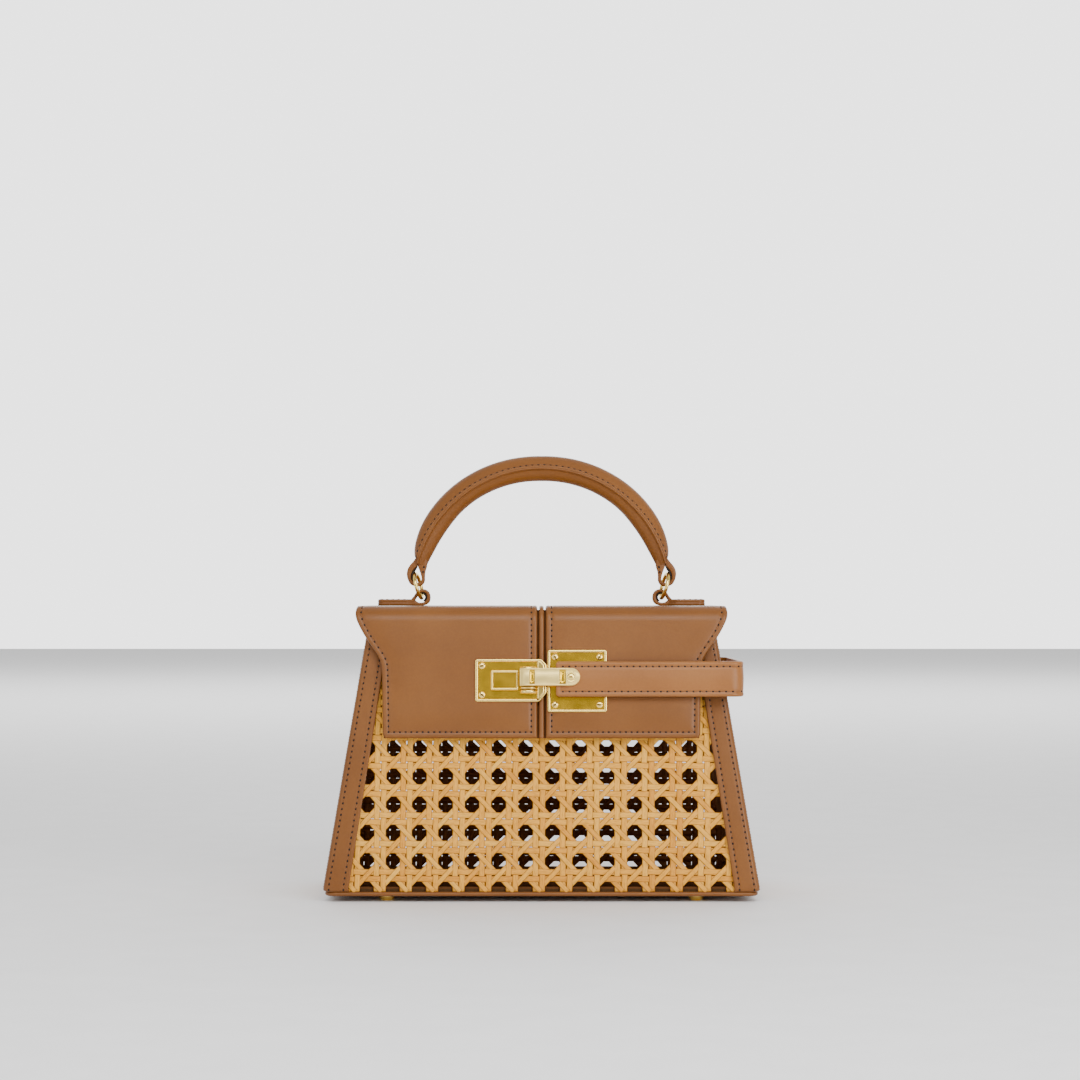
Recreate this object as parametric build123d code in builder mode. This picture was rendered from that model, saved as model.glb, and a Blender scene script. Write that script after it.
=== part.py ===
from build123d import *
import os
from math import atan, cos, radians, sin, sqrt

# A small basket box bag: four cane walls in a leather frame, a leather flap over the top
# with a metal clasp, a side strap that closes over the flap, and an arched top handle.
# Millimetres. +Z is up, -Y is the front, and the origin is at the centre of the base,
# level with the undersides of the feet.

# ---- body, the leaning box ----
foot_height = 2.8
body_top = 132.7
base_width = 202.0
base_depth = 98.0
top_width = 160.0
top_depth = 66.0

# ---- leather and cane sheets ----
band_thickness = 1.4
band_width_low = 11.8
band_width_high = 10.4
band_corner_radius = 3.0
cane_thickness = 1.2
mouth_band_height = 14.0
mouth_chamfer = 1.0
piping_radius = 1.0
piping_corner_radius = 5.0
base_panel_thickness = 1.5
board_thickness = 1.8
floor_thickness = 0.8
floor_clearance = 0.3

# ---- cane weave: octagonal holes on a half-inch mesh ----
cane_pitch_across = 12.46
cane_pitch_up = 12.89
cane_hole_radius = 3.5
cane_first_row = 18.6
cane_row_shift = -1.2
cane_edge_margin = 1.0
cane_hole_sides = 8

# ---- flap ----
flap_front_gap = 1.8
flap_top_gap = 0.5
flap_bottom = 75.0
flap_top_half_width = 85.8
flap_shoulder_height = 109.0
flap_shoulder_half_width = 74.3
flap_bottom_half_width = 73.2
flap_corner_radius = 2.0
flap_cut_margin = 1.0
lining_thickness = 0.8
flap_leather_thickness = 2.2
flap_inner_radius = 3.5
welt_width = 2.1
channel_width = 4.0
welt_drop = 0.2
flap_tail_height = 17.0
flap_tail_half_width = 74.0
hinge_clearance = 0.3

# ---- clasp, measured on the flap's front face ----
clasp_height = 103.4
plate_thickness = 1.0
plate_border = 1.4
plate_border_rise = 0.4
plate_corner_radius = 1.0
lock_plate_left = -30.8
lock_plate_right = 2.4
lock_plate_low = -11.8
lock_plate_high = 8.2
lock_plate_end = 4.3
lock_plate_chamfer = 4.0
boss_left = -23.5
boss_right = -10.6
boss_low = -6.5
boss_high = 2.8
boss_height = 1.6
boss_rim = 1.1
boss_rim_depth = 0.4
post_centre = -6.1
post_width = 8.0
post_low = -8.0
post_high = 4.4
post_height = 3.2
strap_plate_gap = 0.3
strap_plate_width = 27.6
strap_plate_low = -16.6
strap_plate_high = 12.5
screw_inset = 3.6
screw_head_radius = 1.6
screw_head_height = 0.5
screw_shank_radius = 0.9
screw_slot = 0.5
screw_clearance = 0.05

# ---- strap and its tongue ----
strap_width = 16.3
strap_thickness = 2.6
strap_low = 94.3
strap_tip = 6.7
strap_side = 93.5
strap_bend_radius = 4.6
strap_plate_clearance = 0.8
strap_back_gap = 0.4
strap_tail_end = 48.0
strap_fold = 84.0
tongue_left = -10.0
tongue_drop = 0.6
tongue_width = 8.2
tongue_thickness = 1.4
tongue_overlap = 11.0
tongue_lip = 1.0
tongue_lip_depth = 1.0
tongue_groove_left = -5.6
tongue_groove_width = 2.6
tongue_groove_depth = 0.5
rivet_radius = 2.0
rivet_height = 0.9
rivet_rounding = 0.72
tail_rivet_spacing = 12.0

# ---- handle, rings and tabs ----
handle_radius = 61.7
handle_centre_height = body_top + 7.5
handle_end_angle = 15.0
handle_thickness = 11.3
handle_depth = 13.0
handle_cover = 1.3
handle_seam_margin = 1.95
tab_loop_x = 56.7
tab_loop_height = 4.1
tab_loop_hole = 2.3
tab_loop_wall = 1.6
loop_depth = 4.4
tab_leg_end = 77.7
tab_leg_thickness = 3.0
tab_leg_depth = 9.0
tab_corner_radius = 3.0
tab_leg_start = 59.5
ring_lean = 15.8
ring_turn = 6.0
ring_radius = 5.5
ring_wire = 0.8
handle_loop_hole_width = 4.8
handle_loop_hole_height = 6.1
handle_loop_wall = 1.5
handle_loop_rounding = 0.45
handle_loop_neck = 0.8

# ---- feet ----
foot_radius = 4.0
foot_flat_radius = 2.2
foot_bulge_inset = 0.6
foot_bulge_height = 1.1
foot_x = 71.5
foot_inset = 11.0
stem_radius = 1.2
stem_clearance = 0.05
washer_radius = 3.0
washer_thickness = 0.6

# ---- worked out from the sizes above ----
wall_height = body_top - foot_height
side_slope = (base_width - top_width) / 2 / wall_height
front_slope = (base_depth - top_depth) / 2 / wall_height
front_lean = atan(front_slope)
wall_bottom = foot_height + 2 * piping_radius
flap_thickness = lining_thickness + flap_leather_thickness
flap_underside = body_top + flap_top_gap
flap_top = flap_underside + flap_thickness
strap_high = strap_low + strap_width
board_low = foot_height + base_panel_thickness
floor_low = board_low + board_thickness
strap_rise = plate_thickness + plate_border_rise + strap_plate_clearance


def half_width(z):
    """Half the body's outer width at height z."""
    return base_width / 2 - side_slope * (z - foot_height)


def half_depth(z):
    """Half the body's outer depth at height z."""
    return base_depth / 2 - front_slope * (z - foot_height)


def band_width(z):
    """Width of a corner band on one wall at height z."""
    share = (z - foot_height) / wall_height
    return band_width_low + (band_width_high - band_width_low) * share


def save(part, name):
    """Labels one finished piece and writes its file."""
    part.label = name
    export_step(part, f"parts/{name}.step")


os.makedirs("parts", exist_ok=True)

# ---- walls ----

flap_hinge_y = half_depth(body_top) + flap_leather_thickness + hinge_clearance


def wall_section(side, z, inset, thickness, half_length):
    """Four corners of a wall's level section: side is one of front, back, left and right."""
    reach = half_depth(z) if side in ("front", "back") else half_width(z)
    outer = reach - inset
    inner = outer - thickness
    sign = 1 if side in ("back", "right") else -1
    if side in ("front", "back"):
        return [
            (-half_length, sign * outer),
            (half_length, sign * outer),
            (half_length, sign * inner),
            (-half_length, sign * inner),
        ]
    return [
        (sign * outer, -half_length),
        (sign * outer, half_length),
        (sign * inner, half_length),
        (sign * inner, -half_length),
    ]


def leaning_wall(side, low, high, inset, thickness, half_length):
    """A flat sheet that leans with one side of the body, between two heights."""
    with BuildPart() as wall:
        for z in (low, high):
            with BuildSketch(Plane.XY.offset(z)):
                with BuildLine():
                    Polyline(*wall_section(side, z, inset, thickness, half_length(z)), close=True)
                make_face()
        loft(ruled=True)
    return wall.part


def cane_plane(side):
    """The outer face of one cane wall, with its local Y running up the wall."""
    z = cane_first_row
    if side in ("front", "back"):
        sign = 1 if side == "back" else -1
        origin = (0, sign * (half_depth(z) - band_thickness), z)
        return Plane(origin, x_dir=(-sign, 0, 0), z_dir=(0, sign * cos(front_lean), sin(front_lean)))
    sign = 1 if side == "right" else -1
    lean = atan(side_slope)
    origin = (sign * (half_width(z) - band_thickness), 0, z)
    return Plane(origin, x_dir=(0, sign, 0), z_dir=(sign * cos(lean), 0, sin(lean)))


def cane_holes(side):
    """Centres of the whole octagons between the leather bands, on the wall's own plane."""
    slope = front_slope if side in ("front", "back") else side_slope
    reach = half_width if side in ("front", "back") else half_depth
    stretch = sqrt(1 + slope**2)
    shift = cane_row_shift if side in ("front", "back") else 0
    rows = int((body_top - mouth_band_height - cane_first_row) / cane_pitch_up) + 1
    centres = []
    for row in range(rows):
        z = cane_first_row + row * cane_pitch_up
        top_room = body_top - mouth_band_height - z
        limit = reach(z) - band_width(z) - cane_hole_radius - cane_edge_margin
        if top_room < cane_hole_radius + cane_edge_margin:
            continue
        columns = int(2 * limit / cane_pitch_across) + 2
        for column in range(-columns, columns + 1):
            x = shift + (column + 0.5) * cane_pitch_across
            if abs(x) <= limit:
                centres.append((x, row * cane_pitch_up * stretch))
    return centres


for side in ("front", "back", "left", "right"):
    facing = side in ("front", "back")
    across = half_width if facing else half_depth
    corner_room = band_thickness + cane_thickness + floor_clearance if facing else band_thickness
    slope = front_slope if facing else side_slope
    stretch = sqrt(1 + slope**2)
    low, high = [(z - cane_first_row) * stretch for z in (wall_bottom, body_top)]
    wide, narrow = [across(z) - corner_room for z in (wall_bottom, body_top)]
    with BuildPart() as cane:
        with BuildSketch(cane_plane(side)):
            with BuildLine():
                Polyline((-wide, low), (wide, low), (narrow, high), (-narrow, high), close=True)
            make_face()
            with Locations(*cane_holes(side)):
                RegularPolygon(cane_hole_radius, cane_hole_sides, rotation=180 / cane_hole_sides,
                               mode=Mode.SUBTRACT)
        extrude(amount=-cane_thickness)
    save(cane.part, f"cane_{side}")

# Corner bands: one folded strip of leather up each corner of the box.
corners = {
    "front_left": (-1, -1),
    "front_right": (1, -1),
    "back_left": (-1, 1),
    "back_right": (1, 1),
}
for name, (sx, sy) in corners.items():
    with BuildPart() as band:
        for z in (wall_bottom, body_top):
            x, y, w = half_width(z), half_depth(z), band_width(z)
            outline = [
                (x, y),
                (x - w, y),
                (x - w, y - band_thickness),
                (x - band_thickness, y - band_thickness),
                (x - band_thickness, y - w),
                (x, y - w),
            ]
            with BuildSketch(Plane.XY.offset(z)):
                with BuildLine():
                    Polyline(*[(sx * px, sy * py) for px, py in outline], close=True)
                make_face()
        loft(ruled=True)
        upright = [e for e in band.edges() if abs(e.tangent_at(0.5).Z) > 0.9]
        corner = max(upright, key=lambda e: abs(e.center().X) + abs(e.center().Y))
        fillet(corner, band_corner_radius)
    save(band.part, f"corner_band_{name}")

# Mouth bands: the leather edge round the top of the box, between the corner bands.
mouth_low = body_top - mouth_band_height
for side in ("front", "back", "left", "right"):
    facing = side in ("front", "back")
    across = half_width if facing else half_depth
    with BuildPart() as mouth:
        add(leaning_wall(side, mouth_low, body_top, 0, band_thickness,
                         lambda z: across(z) - band_width(z)))
        if side == "front":
            edge = mouth.edges().filter_by(Axis.X).group_by(Axis.Z)[-1].sort_by(Axis.Y)[0]
            chamfer(edge, mouth_chamfer)
    save(mouth.part, f"mouth_band_{side}")

# Base: a leather panel with a corded edge, a stiff board on it and a lining on the board.
with BuildPart() as base_piping:
    x = base_width / 2 - piping_radius
    y = base_depth / 2 - piping_radius
    z = foot_height + piping_radius
    with BuildSketch(Plane.XY.offset(z), mode=Mode.PRIVATE) as piping_loop:
        RectangleRounded(2 * x, 2 * y, piping_corner_radius)
    piping_path = piping_loop.sketch.wires()[0]
    with BuildSketch(Plane(piping_path @ 0, z_dir=piping_path % 0)):
        Circle(piping_radius)
    sweep(path=piping_path)
save(base_piping.part, "base_piping")

feet = [(sx * foot_x, sy * (base_depth / 2 - foot_inset)) for sx, sy in corners.values()]
base_half_width = base_width / 2 - 2 * piping_radius
base_half_depth = base_depth / 2 - 2 * piping_radius
with BuildPart() as base_panel:
    with BuildSketch(Plane.XY.offset(foot_height)):
        RectangleRounded(2 * base_half_width, 2 * base_half_depth, piping_corner_radius - piping_radius)
    extrude(amount=base_panel_thickness)
    with Locations(*[(x, y, board_low) for x, y in feet]):
        Hole(stem_radius + stem_clearance)
save(base_panel.part, "base_panel")

inner_inset = band_thickness + cane_thickness + floor_clearance
board_half_width = half_width(floor_low + floor_thickness) - inner_inset
board_half_depth = half_depth(floor_low + floor_thickness) - inner_inset
with BuildPart() as base_board:
    with BuildSketch(Plane.XY.offset(board_low)):
        Rectangle(2 * board_half_width, 2 * board_half_depth)
    extrude(amount=board_thickness)
    with Locations(*[(x, y, floor_low) for x, y in feet]):
        CounterBoreHole(stem_radius + stem_clearance, washer_radius + stem_clearance, washer_thickness)
save(base_board.part, "base_board")

with BuildPart() as inner_floor:
    with BuildSketch(Plane.XY.offset(floor_low)):
        Rectangle(2 * board_half_width, 2 * board_half_depth)
    extrude(amount=floor_thickness)
save(inner_floor.part, "inner_floor")

# Feet: domed studs with a stem through the panel and the board, held by washers inside.
for name, (x, y) in zip(corners, feet):
    with BuildPart() as foot:
        with BuildSketch(Plane.XZ.offset(-y)):
            with BuildLine():
                Line((x, 0), (x + foot_flat_radius, 0))
                ThreePointArc(
                    (x + foot_flat_radius, 0),
                    (x + foot_radius - foot_bulge_inset, foot_bulge_height),
                    (x + foot_radius, foot_height),
                )
                Line((x + foot_radius, foot_height), (x, foot_height))
                Line((x, foot_height), (x, 0))
            make_face()
        revolve(axis=Axis((x, y, 0), (0, 0, 1)))
        with BuildSketch(Plane((x, y, foot_height))):
            Circle(stem_radius)
        extrude(amount=base_panel_thickness + board_thickness)
    save(foot.part, f"foot_{name}")

with BuildPart() as foot_washers:
    for x, y in feet:
        with BuildSketch(Plane((x, y, floor_low - washer_thickness))):
            Circle(washer_radius)
            Circle(stem_radius + stem_clearance, mode=Mode.SUBTRACT)
        extrude(amount=washer_thickness)
save(foot_washers.part, "foot_washers")

# ---- flap ----

flap_rear = flap_hinge_y - hinge_clearance


def flap_path(rise):
    """Side view of a surface of the flap, rise above its inner face: front edge, fold, rear edge."""
    fold_z = flap_underside + rise
    reach = flap_front_gap + rise
    return [
        (-half_depth(flap_bottom) - reach, flap_bottom),
        (-half_depth(fold_z) - reach, fold_z),
        (flap_rear, fold_z),
    ]


def flap_layer(low, high, left, right):
    """One layer of the flap between two rises and two X positions, cut to the flap's outline."""
    inner, outer = flap_path(low), flap_path(high)
    with BuildPart() as layer:
        with BuildSketch(Plane.YZ.offset(left)):
            with BuildLine():
                FilletPolyline(*outer, radius=flap_inner_radius + high)
                Line(outer[-1], inner[-1])
                FilletPolyline(*inner, radius=flap_inner_radius + low)
                Line(inner[0], outer[0])
            make_face()
        extrude(amount=right - left)
        with BuildSketch(Plane.XZ) as outline:
            with BuildLine():
                Polyline(
                    (-flap_bottom_half_width, flap_bottom),
                    (flap_bottom_half_width, flap_bottom),
                    (flap_shoulder_half_width, flap_shoulder_height),
                    (flap_top_half_width, body_top),
                    (flap_top_half_width, flap_top),
                    (-flap_top_half_width, flap_top),
                    (-flap_top_half_width, body_top),
                    (-flap_shoulder_half_width, flap_shoulder_height),
                    close=True,
                )
            make_face()
            fillet(outline.vertices().group_by(Axis.Y)[0], flap_corner_radius)
        extrude(amount=base_depth, both=True, mode=Mode.INTERSECT)
    return layer.part


flap_span = flap_top_half_width + flap_cut_margin
save(flap_layer(0, lining_thickness, -flap_span, flap_span), "flap_lining")
save(flap_layer(lining_thickness, flap_thickness, -flap_span, -channel_width / 2), "flap_panel_left")
save(flap_layer(lining_thickness, flap_thickness, channel_width / 2, flap_span), "flap_panel_right")
welt_top = flap_thickness - welt_drop
save(flap_layer(lining_thickness, welt_top, -welt_width / 2, welt_width / 2), "flap_welt")

# The flap's leather runs on over the rear edge and is sewn to the back wall.
with BuildPart() as flap_tail:
    add(leaning_wall("back", body_top - flap_tail_height, body_top, -flap_leather_thickness,
                     flap_leather_thickness, lambda z: flap_tail_half_width))
save(flap_tail.part, "flap_tail")

# ---- clasp on the flap ----

flap_reach = flap_front_gap + flap_thickness


def clasp_plane(rise):
    """A plane parallel to the flap's front, rise outside it, with its origin at clasp height."""
    normal = Vector(0, -cos(front_lean), sin(front_lean))
    origin = Vector(0, -half_depth(clasp_height) - flap_reach, clasp_height) + normal * rise
    return Plane(origin, x_dir=(1, 0, 0), z_dir=normal)


def between(left, right, low, high):
    """Centre and size of a rectangle given by its four sides."""
    return ((left + right) / 2, (low + high) / 2), (right - left, high - low)


def screw_set(places):
    """Slotted screws standing on a plate, each with a shank in the plate's hole."""
    with BuildPart() as screws:
        for place in places:
            with BuildSketch(clasp_plane(0)):
                with Locations(place):
                    Circle(screw_shank_radius)
            extrude(amount=plate_thickness)
            with BuildSketch(clasp_plane(plate_thickness)):
                with Locations(place):
                    Circle(screw_head_radius)
            extrude(amount=screw_head_height)
            with BuildSketch(clasp_plane(plate_thickness + screw_head_height)):
                with Locations(place):
                    Rectangle(2 * screw_head_radius, screw_slot)
            extrude(amount=-screw_head_height / 2, mode=Mode.SUBTRACT)
    return screws.part


plate_rim = plate_thickness + plate_border_rise
lock_screws = [
    (lock_plate_left + screw_inset, lock_plate_high - screw_inset),
    (lock_plate_left + screw_inset, lock_plate_low + screw_inset),
]
with BuildPart() as lock_plate:
    centre, size = between(lock_plate_left, lock_plate_right, lock_plate_low, lock_plate_high)
    with BuildSketch(clasp_plane(0)) as outline:
        with Locations(centre):
            Rectangle(*size)
        chamfer(outline.vertices().group_by(Axis.X)[-1], lock_plate_chamfer)
        fillet(outline.vertices().group_by(Axis.X)[0], plate_corner_radius)
    extrude(amount=plate_rim)
    centre, size = between(lock_plate_left + plate_border, lock_plate_right - lock_plate_end,
                           lock_plate_low + plate_border, lock_plate_high - plate_border)
    with BuildSketch(clasp_plane(plate_thickness)):
        with Locations(centre):
            Rectangle(*size)
    extrude(amount=plate_rim, mode=Mode.SUBTRACT)
    with BuildSketch(clasp_plane(0)):
        with Locations(*lock_screws):
            Circle(screw_shank_radius + screw_clearance)
    extrude(amount=plate_rim, mode=Mode.SUBTRACT)
save(lock_plate.part, "lock_plate")
save(screw_set(lock_screws), "lock_plate_screws")

with BuildPart() as lock_boss:
    centre, size = between(boss_left, boss_right, boss_low, boss_high)
    with BuildSketch(clasp_plane(plate_thickness)):
        with Locations(centre):
            Rectangle(*size)
    extrude(amount=boss_height)
    with BuildSketch(clasp_plane(plate_thickness + boss_height)):
        with Locations(centre):
            Rectangle(size[0] - 2 * boss_rim, size[1] - 2 * boss_rim)
    extrude(amount=-boss_rim_depth, mode=Mode.SUBTRACT)
save(lock_boss.part, "lock_boss")

# The post is a half oval bar standing on the plate, which the tongue closes over.
post_foot = clasp_plane(plate_thickness).origin
post_up = Vector(0, sin(front_lean), cos(front_lean))
with BuildPart() as clasp_post:
    section = Plane(post_foot + post_up * post_low, x_dir=(1, 0, 0), z_dir=post_up)
    with BuildSketch(section):
        with Locations((post_centre, 0)):
            Ellipse(post_width / 2, post_height)
        with Locations((post_centre, post_height)):
            Rectangle(post_width, 2 * post_height, mode=Mode.SUBTRACT)
    extrude(amount=post_high - post_low)
save(clasp_post.part, "clasp_post")

strap_plate_left = lock_plate_right + strap_plate_gap
strap_plate_right = strap_plate_left + strap_plate_width
strap_plate_screws = [
    (x, y)
    for x in (strap_plate_left + screw_inset, strap_plate_right - screw_inset)
    for y in (strap_plate_low + screw_inset, strap_plate_high - screw_inset)
]
with BuildPart() as strap_plate:
    centre, size = between(strap_plate_left, strap_plate_right, strap_plate_low, strap_plate_high)
    with BuildSketch(clasp_plane(0)):
        with Locations(centre):
            RectangleRounded(*size, plate_corner_radius)
    extrude(amount=plate_rim)
    with BuildSketch(clasp_plane(plate_thickness)):
        with Locations(centre):
            Rectangle(size[0] - 2 * plate_border, size[1] - 2 * plate_border)
    extrude(amount=plate_rim, mode=Mode.SUBTRACT)
    with BuildSketch(clasp_plane(0)):
        with Locations(*strap_plate_screws):
            Circle(screw_shank_radius + screw_clearance)
    extrude(amount=plate_rim, mode=Mode.SUBTRACT)
save(strap_plate.part, "strap_plate")
save(screw_set(strap_plate_screws), "strap_plate_screws")

# ---- strap ----


def strap_outline(z):
    """Level section of the strap: over the flap, round the right side, to the rear fold."""
    front = -half_depth(z) - flap_reach - (strap_rise + strap_thickness) / cos(front_lean)
    back = half_depth(z) + strap_back_gap + strap_thickness
    side = strap_side
    start = strap_fold + hinge_clearance
    t = strap_thickness
    outer = [(strap_tip, front), (side, front), (side, back), (start, back)]
    inner = [(start, back - t), (side - t, back - t), (side - t, front + t), (strap_tip, front + t)]
    return outer, inner


with BuildPart() as strap:
    for z in (strap_low, strap_high):
        outer, inner = strap_outline(z)
        with BuildSketch(Plane.XY.offset(z)):
            with BuildLine():
                FilletPolyline(*outer, radius=strap_bend_radius)
                Line(outer[-1], inner[0])
                FilletPolyline(*inner, radius=strap_bend_radius - strap_thickness)
                Line(inner[-1], outer[0])
            make_face()
    loft(ruled=True)
save(strap.part, "strap")

# The strap's sewn end lies on the back wall, from the rear fold inwards.
with BuildPart() as strap_tail:
    for z in (strap_low, strap_high):
        inner = half_depth(z)
        outer = inner + strap_back_gap + strap_thickness
        with BuildSketch(Plane.XY.offset(z)):
            with BuildLine():
                Polyline((strap_tail_end, inner), (strap_fold, inner), (strap_fold, outer),
                         (strap_tail_end, outer), close=True)
            make_face()
    loft(ruled=True)
save(strap_tail.part, "strap_tail")


def rivet_head(plane, place):
    """A low dome: a round head with a rounded edge."""
    with BuildPart() as head:
        with BuildSketch(plane):
            with Locations(place):
                Circle(rivet_radius)
        extrude(amount=rivet_height)
        fillet(head.faces().sort_by(Axis(plane.origin, plane.z_dir))[-1].edges(), rivet_rounding)
    return head.part


tongue_right = strap_tip + tongue_overlap
tongue_rise = strap_rise + strap_thickness
tongue_top = tongue_rise + tongue_thickness
tongue_end_radius = tongue_width / 2
with BuildPart() as tongue:
    with BuildSketch(clasp_plane(tongue_rise)):
        with Locations(((tongue_left + tongue_right - tongue_end_radius) / 2, -tongue_drop)):
            Rectangle(tongue_right - tongue_end_radius - tongue_left, tongue_width)
        with Locations((tongue_right - tongue_end_radius, -tongue_drop)):
            Circle(tongue_end_radius)
    extrude(amount=tongue_thickness)
    centre, size = between(tongue_left, tongue_left + tongue_lip,
                           -tongue_end_radius - tongue_drop, tongue_end_radius - tongue_drop)
    with BuildSketch(clasp_plane(tongue_rise)):
        with Locations(centre):
            Rectangle(*size)
    extrude(amount=-tongue_lip_depth)
    with BuildSketch(clasp_plane(tongue_top)):
        with Locations((tongue_groove_left + tongue_groove_width / 2, -tongue_drop)):
            Rectangle(tongue_groove_width, tongue_width)
    extrude(amount=-tongue_groove_depth, mode=Mode.SUBTRACT)
save(tongue.part, "tongue")

with BuildPart() as tongue_rivet:
    add(rivet_head(clasp_plane(tongue_top), (tongue_right - tongue_end_radius, -tongue_drop)))
save(tongue_rivet.part, "tongue_rivet")

tail_middle = (strap_low + strap_high) / 2
tail_origin = (0, half_depth(tail_middle) + strap_back_gap + strap_thickness, tail_middle)
tail_plane = Plane(tail_origin, x_dir=(-1, 0, 0), z_dir=(0, cos(front_lean), sin(front_lean)))
tail_centre = (strap_tail_end + strap_fold) / 2 - tail_rivet_spacing / 2
with BuildPart() as strap_tail_rivets:
    for step in (-0.5, 0.5):
        add(rivet_head(tail_plane, (-(tail_centre + step * tail_rivet_spacing), 0)))
save(strap_tail_rivets.part, "strap_tail_rivets")

# ---- tabs and rings ----

tab_loop_z = flap_top + tab_loop_height
ring_up = {-1: Vector(-sin(radians(ring_lean)), 0, cos(radians(ring_lean))),
           1: Vector(sin(radians(ring_lean)), 0, cos(radians(ring_lean)))}
for side, sx in (("left", -1), ("right", 1)):
    with BuildPart() as tab:
        with BuildSketch(Plane.XZ):
            with Locations((sx * tab_loop_x, tab_loop_z)):
                Circle(tab_loop_hole + tab_loop_wall)
        extrude(amount=loop_depth / 2, both=True)
        centre, size = between(tab_leg_start, tab_leg_end, flap_top, flap_top + tab_leg_thickness)
        with BuildSketch(Plane.XZ):
            with Locations((sx * centre[0], centre[1])):
                Rectangle(*size)
        extrude(amount=tab_leg_depth / 2, both=True)
        far_edges = tab.edges().filter_by(Axis.Z).sort_by(Axis.X)
        fillet(far_edges[-2:] if sx > 0 else far_edges[:2], tab_corner_radius)
        centre, size = between(tab_loop_x, tab_leg_start, flap_top, flap_top + tab_leg_thickness)
        with BuildSketch(Plane.XZ):
            with Locations((sx * centre[0], centre[1])):
                Rectangle(*size)
        extrude(amount=loop_depth / 2, both=True)
        with BuildSketch(Plane.XZ):
            with Locations((sx * tab_loop_x, tab_loop_z)):
                Circle(tab_loop_hole)
        extrude(amount=tab_leg_depth, both=True, mode=Mode.SUBTRACT)
    save(tab.part, f"tab_{side}")

    up = ring_up[sx]
    ring_centre = Vector(sx * tab_loop_x, 0, tab_loop_z) + up * ring_radius
    across = Vector(0, 1, 0).rotate(Axis((0, 0, 0), up), -sx * ring_turn)
    with BuildPart(Plane(ring_centre, x_dir=up, z_dir=across.cross(up))) as ring:
        Torus(ring_radius, ring_wire)
    save(ring.part, f"ring_{side}")

# ---- handle ----

handle_axis = Axis((0, 0, handle_centre_height), (0, -1, 0))
handle_sweep = 180 - 2 * handle_end_angle
end_out = Vector(cos(radians(handle_end_angle)), 0, sin(radians(handle_end_angle)))
handle_end = Plane((0, 0, handle_centre_height), x_dir=end_out,
                   z_dir=end_out.cross(Vector(0, 1, 0)))


def handle_section(shrink, upper, lower):
    """The handle's eye-shaped section, each half kept or not, shrunk all round."""
    tip = handle_depth / 2 - shrink * handle_seam_margin / handle_cover
    swell = handle_thickness / 2 - shrink
    with BuildSketch(handle_end) as section:
        with BuildLine():
            if upper:
                ThreePointArc((handle_radius, -tip), (handle_radius + swell, 0), (handle_radius, tip))
            else:
                Line((handle_radius, -tip), (handle_radius, tip))
            if lower:
                ThreePointArc((handle_radius, tip), (handle_radius - swell, 0), (handle_radius, -tip))
            else:
                Line((handle_radius, tip), (handle_radius, -tip))
        make_face()
    return section.sketch


with BuildPart() as handle_core:
    add(handle_section(handle_cover, True, True))
    revolve(axis=handle_axis, revolution_arc=handle_sweep)
save(handle_core.part, "handle_core")

with BuildPart() as handle_upper_cover:
    add(handle_section(0, True, False))
    revolve(axis=handle_axis, revolution_arc=handle_sweep)
    add(handle_core.part, mode=Mode.SUBTRACT)
save(handle_upper_cover.part, "handle_upper_cover")

with BuildPart() as handle_lower_cover:
    add(handle_section(0, False, True))
    revolve(axis=handle_axis, revolution_arc=handle_sweep)
    add(handle_core.part, mode=Mode.SUBTRACT)
save(handle_lower_cover.part, "handle_lower_cover")

# Leather loops join the handle's ends to the rings.
for side, sx in (("left", -1), ("right", 1)):
    loop_centre = Vector(sx * tab_loop_x, 0, tab_loop_z) + ring_up[sx] * 2 * ring_radius
    place = (loop_centre.X, loop_centre.Z)
    loop_width = handle_loop_hole_width + 2 * handle_loop_wall
    loop_height = handle_loop_hole_height + 2 * handle_loop_wall
    stub = handle_thickness / 2
    with BuildPart() as handle_loop:
        with BuildSketch(Plane.XZ):
            with Locations(place):
                RectangleRounded(loop_width, loop_height, loop_width * handle_loop_rounding)
            with Locations((place[0], place[1] + loop_height / 2)):
                Rectangle(loop_width * handle_loop_neck, stub)
        extrude(amount=loop_depth / 2, both=True)
        with BuildSketch(Plane.XZ):
            with Locations(place):
                RectangleRounded(handle_loop_hole_width, handle_loop_hole_height,
                                 handle_loop_hole_width * handle_loop_rounding)
        extrude(amount=loop_depth, both=True, mode=Mode.SUBTRACT)
        add(handle_core.part, mode=Mode.SUBTRACT)
        add(handle_upper_cover.part, mode=Mode.SUBTRACT)
        add(handle_lower_cover.part, mode=Mode.SUBTRACT)
    save(handle_loop.part, f"handle_loop_{side}")
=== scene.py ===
import math
import random

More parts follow.
